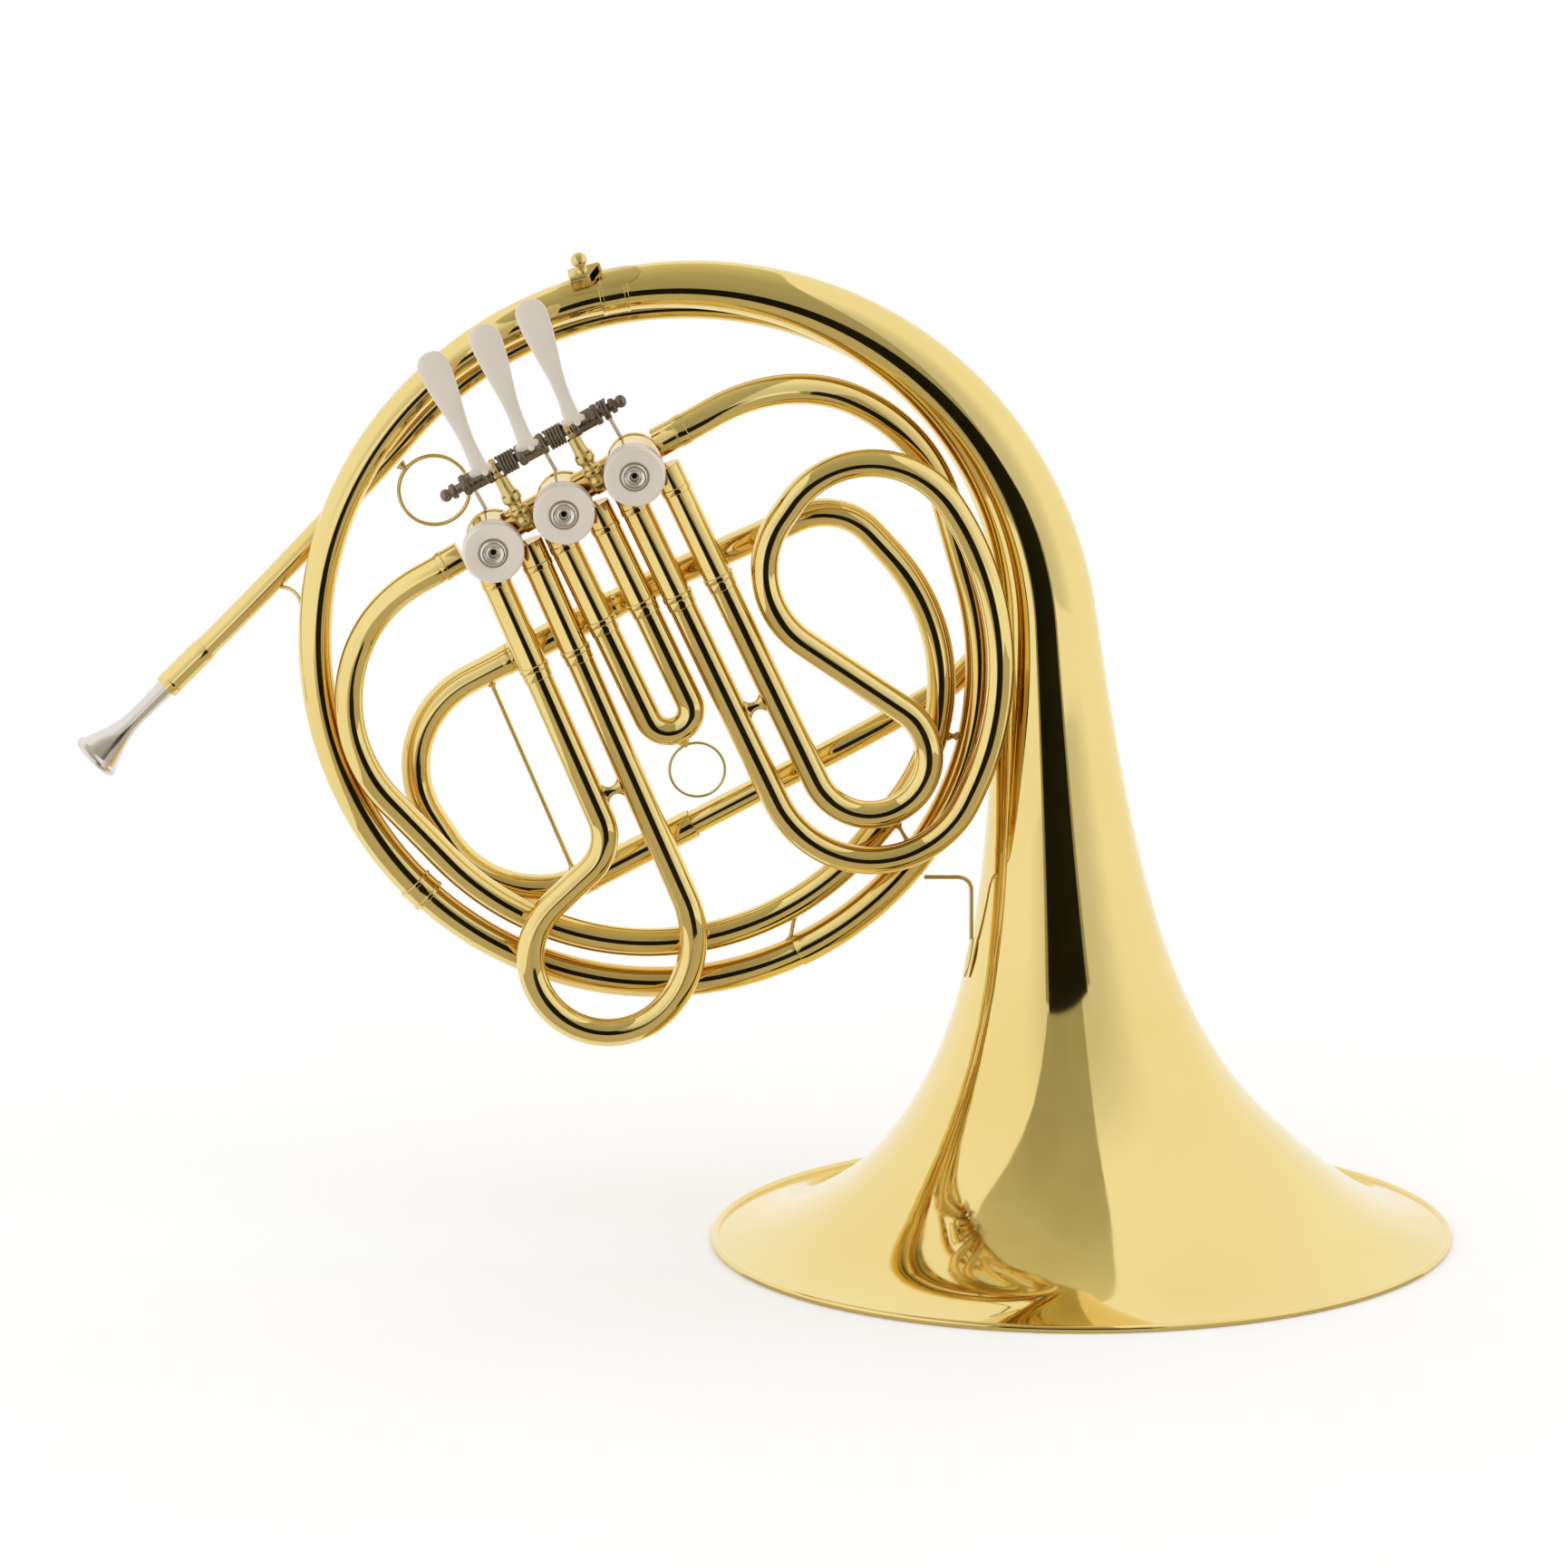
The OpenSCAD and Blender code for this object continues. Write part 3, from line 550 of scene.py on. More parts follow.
PITCH, FIRST_VALVE, ROW = 33.3, vec(-243.4, 304.0), 29.0
ROW_A, ROW_B = heading_vec(ROW), heading_vec(ROW + 90)
CASING_FRONT, CASING_BACK = VALVE_Y - 14, VALVE_Y + 14
CASING, CAP = 12.0, 12.8


def row(a, b, y):
    """A point in the valve row: a along it, b across it away from the slides."""
    return in_space(FIRST_VALVE + a * ROW_A + b * ROW_B, y)


ALONG, ACROSS = in_space(ROW_A), in_space(ROW_B)
DEEP = vec(0, 1, 0)

# The valve slides: degrees from upright, offset of the pair, and depth of the sleeves' ends
LEAN, LEG_OFFSET, SEAM_DEPTH = [23.2, 25, 25], [3.7, 2.1, 2.1], [56, 52, 58]
SPACING, KNUCKLE, SECOND_LEG = 18.6, 17.0, 97.0


def valve_down(i):
    p = FIRST_VALVE + i * PITCH * ROW_A
    return (p[0], p[1], LEAN[i] - 90)


def leg(i, side):
    return beside(valve_down(i), -LEG_OFFSET[i] - side * SPACING / 2)


def slide_table(i):
    goal = turned_back(leg(i, 1))
    if i == 0:
        return closed_on(leg(0, -1), [(124.5, 20.5, -69.5), (20, 32, 183.5)], goal, 44, 1)
    if i == 1:
        return [(SECOND_LEG, SPACING / 2, 180), (SECOND_LEG, 0, 0)]
    table = [(153.5, 43.5, 130.5), (5, 126, 57.5), (0, 39.5, 112.5), (8, 38, 90)]
    return closed_on(leg(2, -1), table, goal, 24.5, -1)


slides = [Route(leg(i, -1), slide_table(i), [(0, VALVE_Y)]) for i in range(3)]


def along(station, y):
    """Axis from a station along its heading."""
    return Axis(in_space(station, y), in_space(heading_vec(station[2])))


# ---------------------------------------------------------------- bell and ring
def bell_profile():
    outer = [RIM_WIRE, 1.9, 2.3, 3.0, 4, 5.5, 7.5, 10, 13, 17, 22, 28, 35, 43, 52, 62, 74, 88, 102]
    outer += list(np.arange(116, FERRULE, 5.0)) + [FERRULE]
    rows = [(l, horn_radius(l)) for l in outer]
    for l in reversed(outer):
        slope = (horn_radius(l + 0.1) - horn_radius(l - 0.1)) / 0.2
        rows.append((l, horn_radius(l) - WALL * math.sqrt(1 + slope * slope)))
    return rows


show("bell", *skin(bell, bell_profile(), 144, closed=True), BELL_BRASS, "corpus",
     ["bell_flare", "bell_tail"])
rim_path = Axis((0, 0, 0), (0, 0, 1))
rim = [
    (RIM_WIRE - 0.05 + RIM_WIRE * math.sin(t), BELL_RADIUS + RIM_WIRE * math.cos(t))
    for t in np.linspace(0, 2 * math.pi, 20, endpoint=False)
]
rim = [(max(0.0, l), r) for l, r in rim]
show("bell_rim_bead", *skin(rim_path, rim, 192, closed=True), BELL_BRASS, "corpus", ["bell_rim"])

ferrules = [
    collar(bell, FERRULE, FERRULE_END, horn_radius(FERRULE) - 0.5, 0.75, 0.2, 64),
    collar(bell, SEAM, SEAM_END, RING_WIDE, 0.45, 0.35),
]
show("ring_ferrules_turned", *join(ferrules), BRASS, "corpus", ["ring_ferrules"])

upper = [(l, horn_radius(l)) for l in bell.stops(FERRULE_END - 2, SEAM + 1, 3.0)]
show("outer_ring_tapered", *skin(bell, upper, 56), BRASS, "corpus", ["outer_ring_upper"])
show("outer_ring_bow", *tube(bell, SEAM_END - 1, SLEEVE_FROM + 1, RING, sides=56), BRASS, "corpus",
     ["outer_ring_lower"])
show("ring_guard_sleeve", *tube(bell, SLEEVE_FROM, SLEEVE_TO, RING_WIDE, sides=56, wall=0.9), BRASS,
     "corpus", ["ring_sleeve"])
show("third_branch", *join([
    tube(bell, SLEEVE_TO - 1, BRANCH_END, RING, sides=56),
    collar(bell, BRANCH_END - 2, BRANCH_END + 2, RING, 0.3),
]), BRASS, "corpus", ["third_valve_branch"])

# ---------------------------------------------------------------- leadpipe side
RECEIVER, RECEIVER_R, SHANK = 21.0, 5.4, 3.9


def lead_radius(l):
    return 4.8 + 0.4 * min(1.0, l / LEAD_END)


pipe_rows = [(l, lead_radius(l)) for l in lead.stops(0, LEAD_END + 0.5, 3.0)]
show("leadpipe_tapered", *skin(lead, pipe_rows, 48), BRASS, "corpus", ["leadpipe"])
mouth = along(turned_back(LEAD_START), lead.knots[0][1])
receiver = lathe(mouth, [
    (-3, RECEIVER_R - 0.8), (-3, RECEIVER_R - 0.45), (0, RECEIVER_R - 0.05), (2.2, RECEIVER_R),
    (RECEIVER - 4, RECEIVER_R - 0.1), (RECEIVER - 3.4, RECEIVER_R + 0.1), (RECEIVER, RECEIVER_R),
    (RECEIVER, SHANK + 0.1), (2, SHANK + 0.1), (2, RECEIVER_R - 0.8),
], 48, 0.4, closed=True)
show("receiver_turned", *receiver, BRASS, "corpus", ["mouthpiece_receiver"])

CUP_START = RECEIVER - 20
cup = [
    (0, 2.2), (0, SHANK - 0.2), (0.6, SHANK), (21, SHANK), (30, 3.65), (38, 3.55), (42, 3.9), (46, 4.6),
    (50, 5.7), (54, 7.1), (57, 8.3), (59.2, 9.1), (60.2, 10.0), (61.2, 10.45), (62.2, 10.4), (63, 9.8),
    (62.8, 9.2), (62, 8.6), (59, 7.9), (55, 6.2), (50, 4.2), (46, 3.0), (40, 2.1), (38, 2.1), (20, 2.2),
]
cup = [(l + CUP_START, r) for l, r in cup]
show("mouthpiece_turned", *skin(mouth, eased(cup, 0.3, True), 64, closed=True), BRIGHT_NICKEL,
     "mouthpiece", ["mouthpiece"])

# ---------------------------------------------------------------- main tuning slide
sleeve_parts = []
for seam in (UPPER_SEAM, turned_back(LOWER_SEAM)):
    path = along(seam, TUNING_Y)
    sleeve_parts.append(lathe(path, [
        (0, INNER + 0.05), (0, TUNING + 0.35), (1.6, TUNING + 0.35), (1.8, TUNING),
        (TUNING_SLEEVE - 1, TUNING), (TUNING_SLEEVE + 1, RETURN + 0.1),
        (TUNING_SLEEVE + 1, INNER + 0.05),
    ], 48, 0.3, closed=True))
show("tuning_sleeves_turned", *join(sleeve_parts), BRASS, "corpus", ["tuning_slide_sleeves"])
show("tuning_crook_bent", *join([
    tube(crook, 0, crook.length, TUNING - 0.1, wall=0.7),
    collar(crook, 0.05, 4.0, TUNING - 0.2, 0.45),
    collar(crook, crook.length - 4.0, crook.length - 0.05, TUNING - 0.2, 0.45),
]), BRASS, "tuning_slide", ["tuning_slide_crook"])
brace_a = ahead(turned_back(UPPER_SEAM), 12)
brace_b = ahead(LOWER_SEAM, 5)
pa, pb = in_space(brace_a, TUNING_Y), in_space(brace_b, TUNING_Y)
rod = Axis(pa, pb - pa)
gap = float(np.linalg.norm(pb - pa))
show("tuning_brace_turned", *lathe(rod, [
    (TUNING - 0.6, 0.1), (TUNING - 0.6, 2.1), (TUNING + 0.6, 1.9), (TUNING + 1.6, 1.1),
    (TUNING + 3.5, 0.95),
    (gap - TUNING - 3.5, 0.95), (gap - TUNING - 1.6, 1.1), (gap - TUNING - 0.6, 1.9),
    (gap - TUNING + 0.6, 2.1), (gap - TUNING + 0.6, 0.1),
], 24, 0.3), AGED_BRASS_WITH_PAINTED_SHADE, "tuning_slide", ["tuning_slide_brace"])
show("return_branch_bent", *tube(back, TUNING_SLEEVE, back.length - 10, RETURN), BRASS, "corpus",
     ["return_branch"])

# ---------------------------------------------------------------- valves
ROW_TUBE_B = 3.5
inlet = turned_back(end_of(back.start, back.pieces))
outlet = turned_back(end_of(bell.start, bell.pieces))


def stub(path, start, end, radius):
    """A short port tube with a soldered ring at its outer end."""
    return lathe(path, [
        (start, radius - 1.2), (start, radius), (end - 2.6, radius), (end - 2.4, radius + 0.22),
        (end, radius + 0.22), (end, radius - 1.2),
    ], 48, 0.3)


def row_tube(i):
    """The short tube between casing i and the next one, with a band at its middle."""
    half = PITCH / 2
    return lathe(Axis(row(i * PITCH, ROW_TUBE_B, VALVE_Y), ALONG), [
        (8, 4.0), (8, SLEEVE - 0.2), (half - 2.2, SLEEVE - 0.2), (half - 2, SLEEVE + 0.35),
        (half + 2, SLEEVE + 0.35), (half + 2.2, SLEEVE - 0.2), (PITCH - 8, SLEEVE - 0.2),
        (PITCH - 8, 4.0),
    ], 48, 0.3)


def valve_casing(i):
    """A casing with the ports of its slide, and what joins it to the rest of the horn."""
    depth = CASING_BACK - CASING_FRONT
    parts = [lathe(Axis(row(i * PITCH, 0, CASING_FRONT), DEEP), [
        (0.2, 10.1), (0.2, CASING - 0.2), (2.2, CASING - 0.2), (2.6, CASING - 1.1),
        (depth - 3.2, CASING - 1.1), (depth - 2.8, CASING - 0.5), (depth, CASING - 0.5),
        (depth, 8.6), (depth - 0.8, 8.4), (depth - 0.8, 3.15), (depth - 3.0, 3.15), (depth - 3.0, 10.1),
    ], 96, 0.35, closed=True)]
    parts += [stub(along(leg(i, side), VALVE_Y), 5, KNUCKLE, SLEEVE) for side in (-1, 1)]
    if i < 2:
        parts.append(row_tube(i))
    if i == 0:
        parts.append(stub(along(inlet, VALVE_Y), 1, 11, RETURN + 0.3))
    if i == 2:
        parts.append(stub(along(outlet, VALVE_Y), 1, OUTLET_STUB, RING))
    return join(parts)


CAP_PROFILE = [
    (-3, CASING + 0.05), (-3, CAP), (-1.8, CAP), (-1.5, CAP - 0.35), (-1.2, CAP), (3.9, CAP),
    (4.9, CAP - 0.9), (4.7, 9.6), (4.75, 6.2), (3.2, 6.1), (3.2, 1.2), (1.5, 1.2), (1.5, CASING + 0.05),
]
BUSH_PROFILE = [
    (3.4, 5.55), (5.3, 5.45), (6.0, 4.9), (6.1, 4.3), (5.7, 3.4), (5.5, 2.9), (6.0, 2.5), (6.1, 2.1),
    (5.6, 1.75), (2.2, 1.7), (2.2, 2.6), (3.4, 2.8),
]
BORE_PROFILE = [(1.6, 0.1), (1.6, 1.65), (2.5, 1.65), (2.5, 0.1)]

for i in range(3):
    show(f"valve_casing_{i + 1}_turned", *valve_casing(i), BRASS, "corpus", [f"valve_casing_{i + 1}"], 45)
    cap_axis = Axis(row(i * PITCH, 0, CASING_FRONT), -DEEP)
    show(f"valve_cap_{i + 1}_turned", *lathe(cap_axis, CAP_PROFILE, 96, 0.35, closed=True), NICKEL,
         "corpus", [f"valve_cap_{i + 1}"])
    show(f"valve_cap_{i + 1}_bush", *lathe(cap_axis, BUSH_PROFILE, 64, 0.35, closed=True), BRIGHT_NICKEL,
         "corpus", ())
    # The cap's centre hole, lined with near-black painted shade
    show(f"valve_cap_{i + 1}_bore", *lathe(cap_axis, BORE_PROFILE, 32, 0.2), PAINTED_HOLE_SHADE, "corpus", ())

# ---------------------------------------------------------------- valve slides
for i in range(3):
    start, end = SEAM_DEPTH[i], slides[i].length - SEAM_DEPTH[i]
    sleeves = []
    for side in (-1, 1):
        path = along(leg(i, side), VALVE_Y)
        sleeves.append(lathe(path, [
            (KNUCKLE - 0.2, INNER + 0.05), (KNUCKLE - 0.2, SLEEVE - 0.15), (start - 2.2, SLEEVE - 0.15),
            (start - 2.0, SLEEVE + 0.25), (start, SLEEVE + 0.25), (start, INNER + 0.05),
        ], 48, 0.3, closed=True))
    show(f"slide_{i + 1}_sleeves_turned", *join(sleeves), BRASS, "corpus", [f"slide_{i + 1}_sleeves"])
    step = 1.2 if i == 1 else 2.5
    parts = [tube(slides[i], start, end, CROOK, step)]
    for l0, l1 in ((start + 0.05, start + 4), (end - 4, end - 0.05)):
        parts.append(collar(slides[i], l0, l1, CROOK, 0.35))
    show(f"slide_{i + 1}_crook_bent", *join(parts), BRASS, f"valve_slide_{i + 1}",
         [f"slide_{i + 1}_crook"])

for i, reach in ((0, 116), (2, 113)):
    mid = beside(ahead(valve_down(i), reach), -LEG_OFFSET[i])
    c = in_space(mid, VALVE_Y)
    across, down = in_space(right_vec(mid[2])), in_space(heading_vec(mid[2]))
    half = SPACING / 2 - CROOK + 0.4
    web = []
    for t in np.linspace(-1, 1, 13):
        waist = 1.9 + 3.0 * abs(t) ** 2.2
        web.append((c + t * half * across, down, DEEP, waist, 1.4 + 0.6 * abs(t) ** 3))
    show(f"slide_{i + 1}_web", *section_loft(web, 0.8), BRASS, f"valve_slide_{i + 1}",
         [f"slide_{i + 1}_brace"])

PULL, PULL_FOOT = 11.4, 1.6
mid = beside(ahead(valve_down(1), SECOND_LEG + SPACING / 2 + CROOK + PULL + PULL_FOOT), -LEG_OFFSET[1])
c = in_space(mid, VALVE_Y)
down = in_space(heading_vec(mid[2]))
across = np.cross(down, DEEP)
show("pull_ring_wire", *join([
    ring_wire(c, down, across, PULL, 0.6),
    lathe(Axis(c - down * (PULL + PULL_FOOT), down), [
        (-PULL_FOOT, 0.1), (-PULL_FOOT, 3.9), (-0.6, 3.2), (0.6, 2.0), (1.8, 1.5), (2.4, 0.9), (2.4, 0.1),
    ], 28, 0.4),
]), AGED_BRASS_WITH_PAINTED_SHADE, "valve_slide_2", ["pull_ring"])

# ---------------------------------------------------------------- lever work
SHAFT_B, SHAFT_Y, SHAFT = 29.6, -40.0, 2.0
HUB, HUBS = 4.6, [(1.9, 15.4), (28.0, 41.0), (53.5, 66.5)]
LEVER_AT, LEVER_TILT, LEVER_LENGTH = [12.1, 33.8, 55.5], [5.3, 8.2, 8.2], 58.0
PADDLE, NECK, BLADE_START = 6.6, 2.9, 5.2
POSTS = [17.4, 51.9]
# The pin of each stop arm at rest: its throw, its angle from the row, and the side it is on
CRANK, CRANK_REST, PIN_SIDE = 5.5, 45, [1, 1, -1]
ARM, ARM_REST, ROD_SHIFT = 30.0, math.radians(-8), 1.5
LINK_SIDE = [2.6, -2.6, -2.6]
TIP_B, TIP_Y = SHAFT_B + ARM * math.sin(ARM_REST), SHAFT_Y + ARM * math.cos(ARM_REST)


def rod_at(i):
    return PITCH * i + PIN_SIDE[i] * ROD_SHIFT


def arm_at(i):
    return rod_at(i) + LINK_SIDE[i]


def paddle_width(t):
    return NECK + 2.2 * math.exp(-t * 12) + (PADDLE - NECK) * smooth((t - 0.30) / 0.68)


def lever_blade(i):
    """A flat lever: a root that rises out of the hub, a neck, a round paddle, and its screw."""
    tilt = math.radians(LEVER_TILT[i])
    up = ALONG * math.sin(tilt) + ACROSS * math.cos(tilt)
    wide = ALONG * math.cos(tilt) - ACROSS * math.sin(tilt)
    foot = row(LEVER_AT[i], SHAFT_B, SHAFT_Y - 5.1)
    body_end = LEVER_LENGTH - PADDLE
    sections = [
        (foot + rise * up + depth * DEEP, wide, DEEP, paddle_width(0), 1.5)
        for rise, depth in ((0.4, 3.6), (1.4, 2.9), (2.4, 1.9), (3.2, 1.1), (4.0, 0.5))
    ]
    blade_steps, tip_steps = 40, 12
    for k in range(blade_steps + 1):
        l = BLADE_START + (body_end - BLADE_START) * k / blade_steps
        t = l / body_end
        thick = 0.8 + 0.9 * math.exp(-t * 7)
        crown = 0.5 * smooth((t - 0.4) / 0.5)
        sections.append((foot + l * up - crown * DEEP, wide, DEEP, paddle_width(t), thick))
    for k in range(1, tip_steps + 1):
        w = math.pi / 2 * k / tip_steps
        l = body_end + PADDLE * math.sin(w) * 0.98
        half = max(0.15, PADDLE * math.cos(w) ** 0.8)
        thick = 0.8 * max(0.25, math.cos(w) ** 0.4)
        sections.append((foot + l * up - 0.5 * DEEP, wide, DEEP, half, thick))
    screw = Axis(row(LEVER_AT[i] + 1.5, SHAFT_B + 1.6, SHAFT_Y - 3.9), -DEEP)
    return join([
        section_loft(sections, 0.5, 36),
        lathe(screw, [(0, 0.1), (0, 1.5), (0.8, 1.3), (1.1, 0.8), (1.2, 0.1)], 24, 0.2),
    ])


def lever_hub(i):
    """The hub on the shaft, and the arm behind it with the eye that works the link."""
    h0, h1 = HUBS[i]
    hub = lathe(Axis(row(0, SHAFT_B, SHAFT_Y), ALONG), [
        (h0, SHAFT + 0.05), (h0, HUB - 0.5), (h0 + 0.8, HUB), (h0 + 2.4, HUB), (h0 + 2.8, HUB - 0.5),
        (h1 - 2.8, HUB - 0.5), (h1 - 2.4, HUB), (h1 - 0.8, HUB), (h1, HUB - 0.5), (h1, SHAFT + 0.05),
    ], 48, 0.3, closed=True)
    root = row(arm_at(i), SHAFT_B, SHAFT_Y)
    out = DEEP * math.cos(ARM_REST) + ACROSS * math.sin(ARM_REST)
    side = np.cross(out, ALONG)
    arm = section_loft([
        (root + out * l, ALONG, side, 1.5, 2.6 - 0.9 * smooth((l - 3) / 14))
        for l in np.linspace(2.5, ARM - 1.5, 12)
    ], 0.5, 20)
    eye = lathe(Axis(row(arm_at(i), TIP_B, TIP_Y), ALONG), [
        (-1.5, 1.1), (-1.5, 2.4), (1.5, 2.4), (1.5, 1.1),
    ], 32, 0.3, True)
    return join([hub, arm, eye])


for i in range(3):
    show(f"lever_{i + 1}_paddle", *lever_blade(i), NICKEL, f"lever_{i + 1}", [f"lever_{i + 1}"], 50)
    show(f"lever_{i + 1}_hub", *lever_hub(i), STEEL, f"lever_{i + 1}", (), 45)

SHAFT_MID, SHAFT_HALF, KNOB_AT = 35.3, 38, 36.3
shaft_axis = Axis(row(SHAFT_MID, SHAFT_B, SHAFT_Y), ALONG)
shaft_parts = [lathe(shaft_axis, [
    (-SHAFT_HALF, 0.1), (-SHAFT_HALF, SHAFT), (SHAFT_HALF, SHAFT), (SHAFT_HALF, 0.1),
], 32)]
for end in (-1, 1):
    path = Axis(row(SHAFT_MID + end * KNOB_AT, SHAFT_B, SHAFT_Y), ALONG * end)
    shaft_parts.append(lathe(path, [
        (0, 0.1), (0, 3.2), (1.1, 3.3), (2.3, 3.0), (2.5, 2.0), (3.2, 1.9), (3.4, 2.3), (4.6, 2.75),
        (5.8, 2.55), (6.8, 1.7), (7.3, 0.1),
    ], 32, 0.5))
show("lever_shaft_turned", *join(shaft_parts), STEEL, "corpus", ["lever_shaft"])

SPRING_WIRE, SPRING_PITCH, SPRING_MARGIN, STEPS_A_TURN = 0.66, 1.42, 0.65, 26


def spring(start, end):
    """A coil of wire round the lever shaft, from start to end along it."""
    span = end - start - 2 * SPRING_MARGIN
    turns = span / SPRING_PITCH
    n = int(turns * STEPS_A_TURN)
    coil = []
    for k in range(n + 1):
        w = 2 * math.pi * turns * k / n
        centre = row(start + SPRING_MARGIN + span * k / n, SHAFT_B, SHAFT_Y)
        coil.append(centre + (HUB - 0.6) * (math.cos(w) * ACROSS + math.sin(w) * DEEP))
    return wire(coil, SPRING_WIRE, 10)


springs = [spring(19.0, 27.6), spring(41.4, 50.3), spring(66.9, 71.1)]
show("lever_springs_wound", *join(springs), STEEL, "corpus", ["lever_springs"])

posts = []
for a in POSTS:
    path = Axis(row(a, 0, SHAFT_Y), ACROSS)
    posts.append(lathe(path, [
        (3.4, 0.1), (3.4, 3.4), (5.4, 3.9), (7.0, 3.0), (7.8, 3.1), (8.4, 4.3), (10.4, 4.4), (11.2, 3.2),
        (12.8, 2.9), (13.8, 3.1), (14.6, 4.1), (17.4, 4.1), (18.2, 3.3), (20.0, 3.0), (21.5, 2.9),
        (SHAFT_B - 3.6, 2.7), (SHAFT_B - 3.6, 0.1),
    ], 32, 0.5))
    posts.append(lathe(Axis(row(a - 1.2, SHAFT_B, SHAFT_Y), ALONG), [
        (0, SHAFT), (0, HUB - 0.3), (0.4, HUB), (2.0, HUB), (2.4, HUB - 0.3), (2.4, SHAFT),
    ], 40, 0.2, True))
    foot = [
        (row(a, 4.0, y), ALONG, ACROSS, w, h)
        for y, w, h in ((SHAFT_Y - 2.0, 2.0, 2.2), (SHAFT_Y, 2.3, 2.5), (SHAFT_Y + 4, 2.4, 2.6),
                        (VALVE_Y - SLEEVE + 1.4, 3.2, 3.4))
    ]
    posts.append(section_loft(foot, 0.6, 24))
show("lever_posts_turned", *join(posts), AGED_BRASS_WITH_PAINTED_SHADE, "corpus", ["lever_posts"], 50)

# ---------------------------------------------------------------- links, stops
ARM_PLANE, ARM_THICK, PIN, EYE = CASING_BACK + 0.5, 3.0, 5.0, 2.0
EYE_Y = ARM_PLANE + ARM_THICK + PIN - EYE - 0.5


def link(i):
    """Pivot pin, plate, rod with its collar, and the eye that drops over the stop arm's pin."""
    rise = TIP_B - CRANK * math.sin(math.radians(CRANK_REST))
    r0 = rod_at(i)
    pin_a = PITCH * i + PIN_SIDE[i] * CRANK * (1 + math.cos(math.radians(CRANK_REST))) / 2
    sign = math.copysign(1, LINK_SIDE[i])
    pivot = Axis(row(r0 + sign * 0.8, TIP_B, TIP_Y), ALONG * sign)
    plate = [(row(r0, TIP_B, y), ALONG, ACROSS, 0.9, 1.4) for y in np.linspace(TIP_Y - 1.4, EYE_Y + EYE, 6)]
    return join([
        lathe(pivot, [(0, 0.1), (0, 1.0), (3.6, 1.0), (3.7, 0.1)], 24, 0.2),
        section_loft(plate, 0.4, 20),
        lathe(Axis(row(r0, TIP_B, EYE_Y + EYE / 2), -ACROSS), [
            (0, 0.1), (0, 0.9), (3, 0.9), (3.4, 1.3), (5.4, 1.3), (5.8, 0.9), (rise - 1.5, 0.9),
            (rise - 1.5, 0.1),
        ], 20, 0.2),
        lathe(Axis(row(pin_a, TIP_B - rise, EYE_Y), DEEP), [
            (0, 2.3), (0, 3.8), (EYE, 3.8), (EYE, 2.3),
        ], 40, 0.25, True),
    ])


def pin_angle(i):
    """Degrees from the row to the pin of stop arm i at rest."""
    return 90 - CRANK_REST * PIN_SIDE[i]


def stop_arm(i):
    """The arm on the rotor's end: collar, blade, headed pin and a low nut."""
    angle = math.radians(pin_angle(i))
    towards = ALONG * math.cos(angle) + ACROSS * math.sin(angle)
    across = np.cross(towards, DEEP)
    c = row(i * PITCH, 0, ARM_PLANE)
    blade = [
        (c + towards * t + DEEP * ARM_THICK / 2, across, DEEP, w, ARM_THICK / 2)
        for t, w in ((CRANK + 2, 0.9), (CRANK + 1.6, 1.6), (CRANK, 2.0), (CRANK - 2, 2.4), (-2, 2.4),
                     (-5, 1.5), (-9.1, 1.5), (-9.5, 1.2))
    ]
    return join([
        lathe(Axis(c, DEEP), [(0, 2.9), (0, 5), (ARM_THICK, 5), (ARM_THICK, 2.9)], 40, 0.35, True),
        section_loft(blade, 0.35, 24),
        lathe(Axis(c + towards * CRANK + DEEP * ARM_THICK, DEEP), [
            (-1, 0.1), (-1, 1), (PIN, 1), (PIN, 2.9), (PIN + 0.5, 2.9), (PIN + 0.8, 2.4), (PIN + 0.8, 0.1),
        ], 28, 0.15),
        lathe(Axis(c + DEEP * ARM_THICK, DEEP), [
            (-0.5, 0.1), (-0.5, 2.4), (0.1, 2.4), (0.25, 2.1), (0.25, 0.1),
        ], 28, 0.1),
    ])


for i in range(3):
    show(f"link_{i + 1}_formed", *link(i), NICKEL, f"link_{i + 1}", [f"link_{i + 1}"], 45)
for i in range(3):
    show(f"stop_arm_{i + 1}_cut", *stop_arm(i), AGED_BRASS_WITH_PAINTED_SHADE, f"rotor_{i + 1}", [f"stop_arm_{i + 1}"], 40)

# Two corks a valve, set where the tail of its stop arm just fails to reach them at each limit
REACH, BUMPER, TAIL_HALF, STOP_GAP = 8.5, 1.8, 1.5, 0.15
spread_angle = math.degrees(math.asin((TAIL_HALF + BUMPER + STOP_GAP) / REACH))
bumpers = []
for i in range(3):
    for extra in (spread_angle, -90 - spread_angle):
        w = math.radians(pin_angle(i) + 180 + PIN_SIDE[i] * extra)
        bumper = Axis(row(i * PITCH + REACH * math.cos(w), REACH * math.sin(w), CASING_BACK), DEEP)
        bumpers.append(lathe(bumper, [(0, 0.1), (0, BUMPER), (3.4, BUMPER - 0.1), (3.4, 0.1)], 24, 0.4))
show("cork_bumpers", *join(bumpers), CORK, "corpus", ["stop_corks"])

# ---------------------------------------------------------------- rings, stays, lyre socket
FINGER = vec(-268.2, -2, 320.5)
attach = vec(math.cos(math.radians(142)), 0, math.sin(math.radians(142)))
finger_parts = [ring_wire(FINGER, vec(1, 0, 0), vec(0, 0, 1), 14.6, 0.85, 14, 128)]
finger_parts.append(section_loft([
    (FINGER + attach * d, np.cross(attach, DEEP), DEEP, w, 1.1)
    for d, w in ((14.3, 0.9), (15.4, 1.2), (16.6, 1.8), (18.0, 2.4))
], 0.7, 24))
show("finger_ring_wire", *join(finger_parts), AGED_BRASS_WITH_PAINTED_SHADE, "corpus", ["finger_ring"])

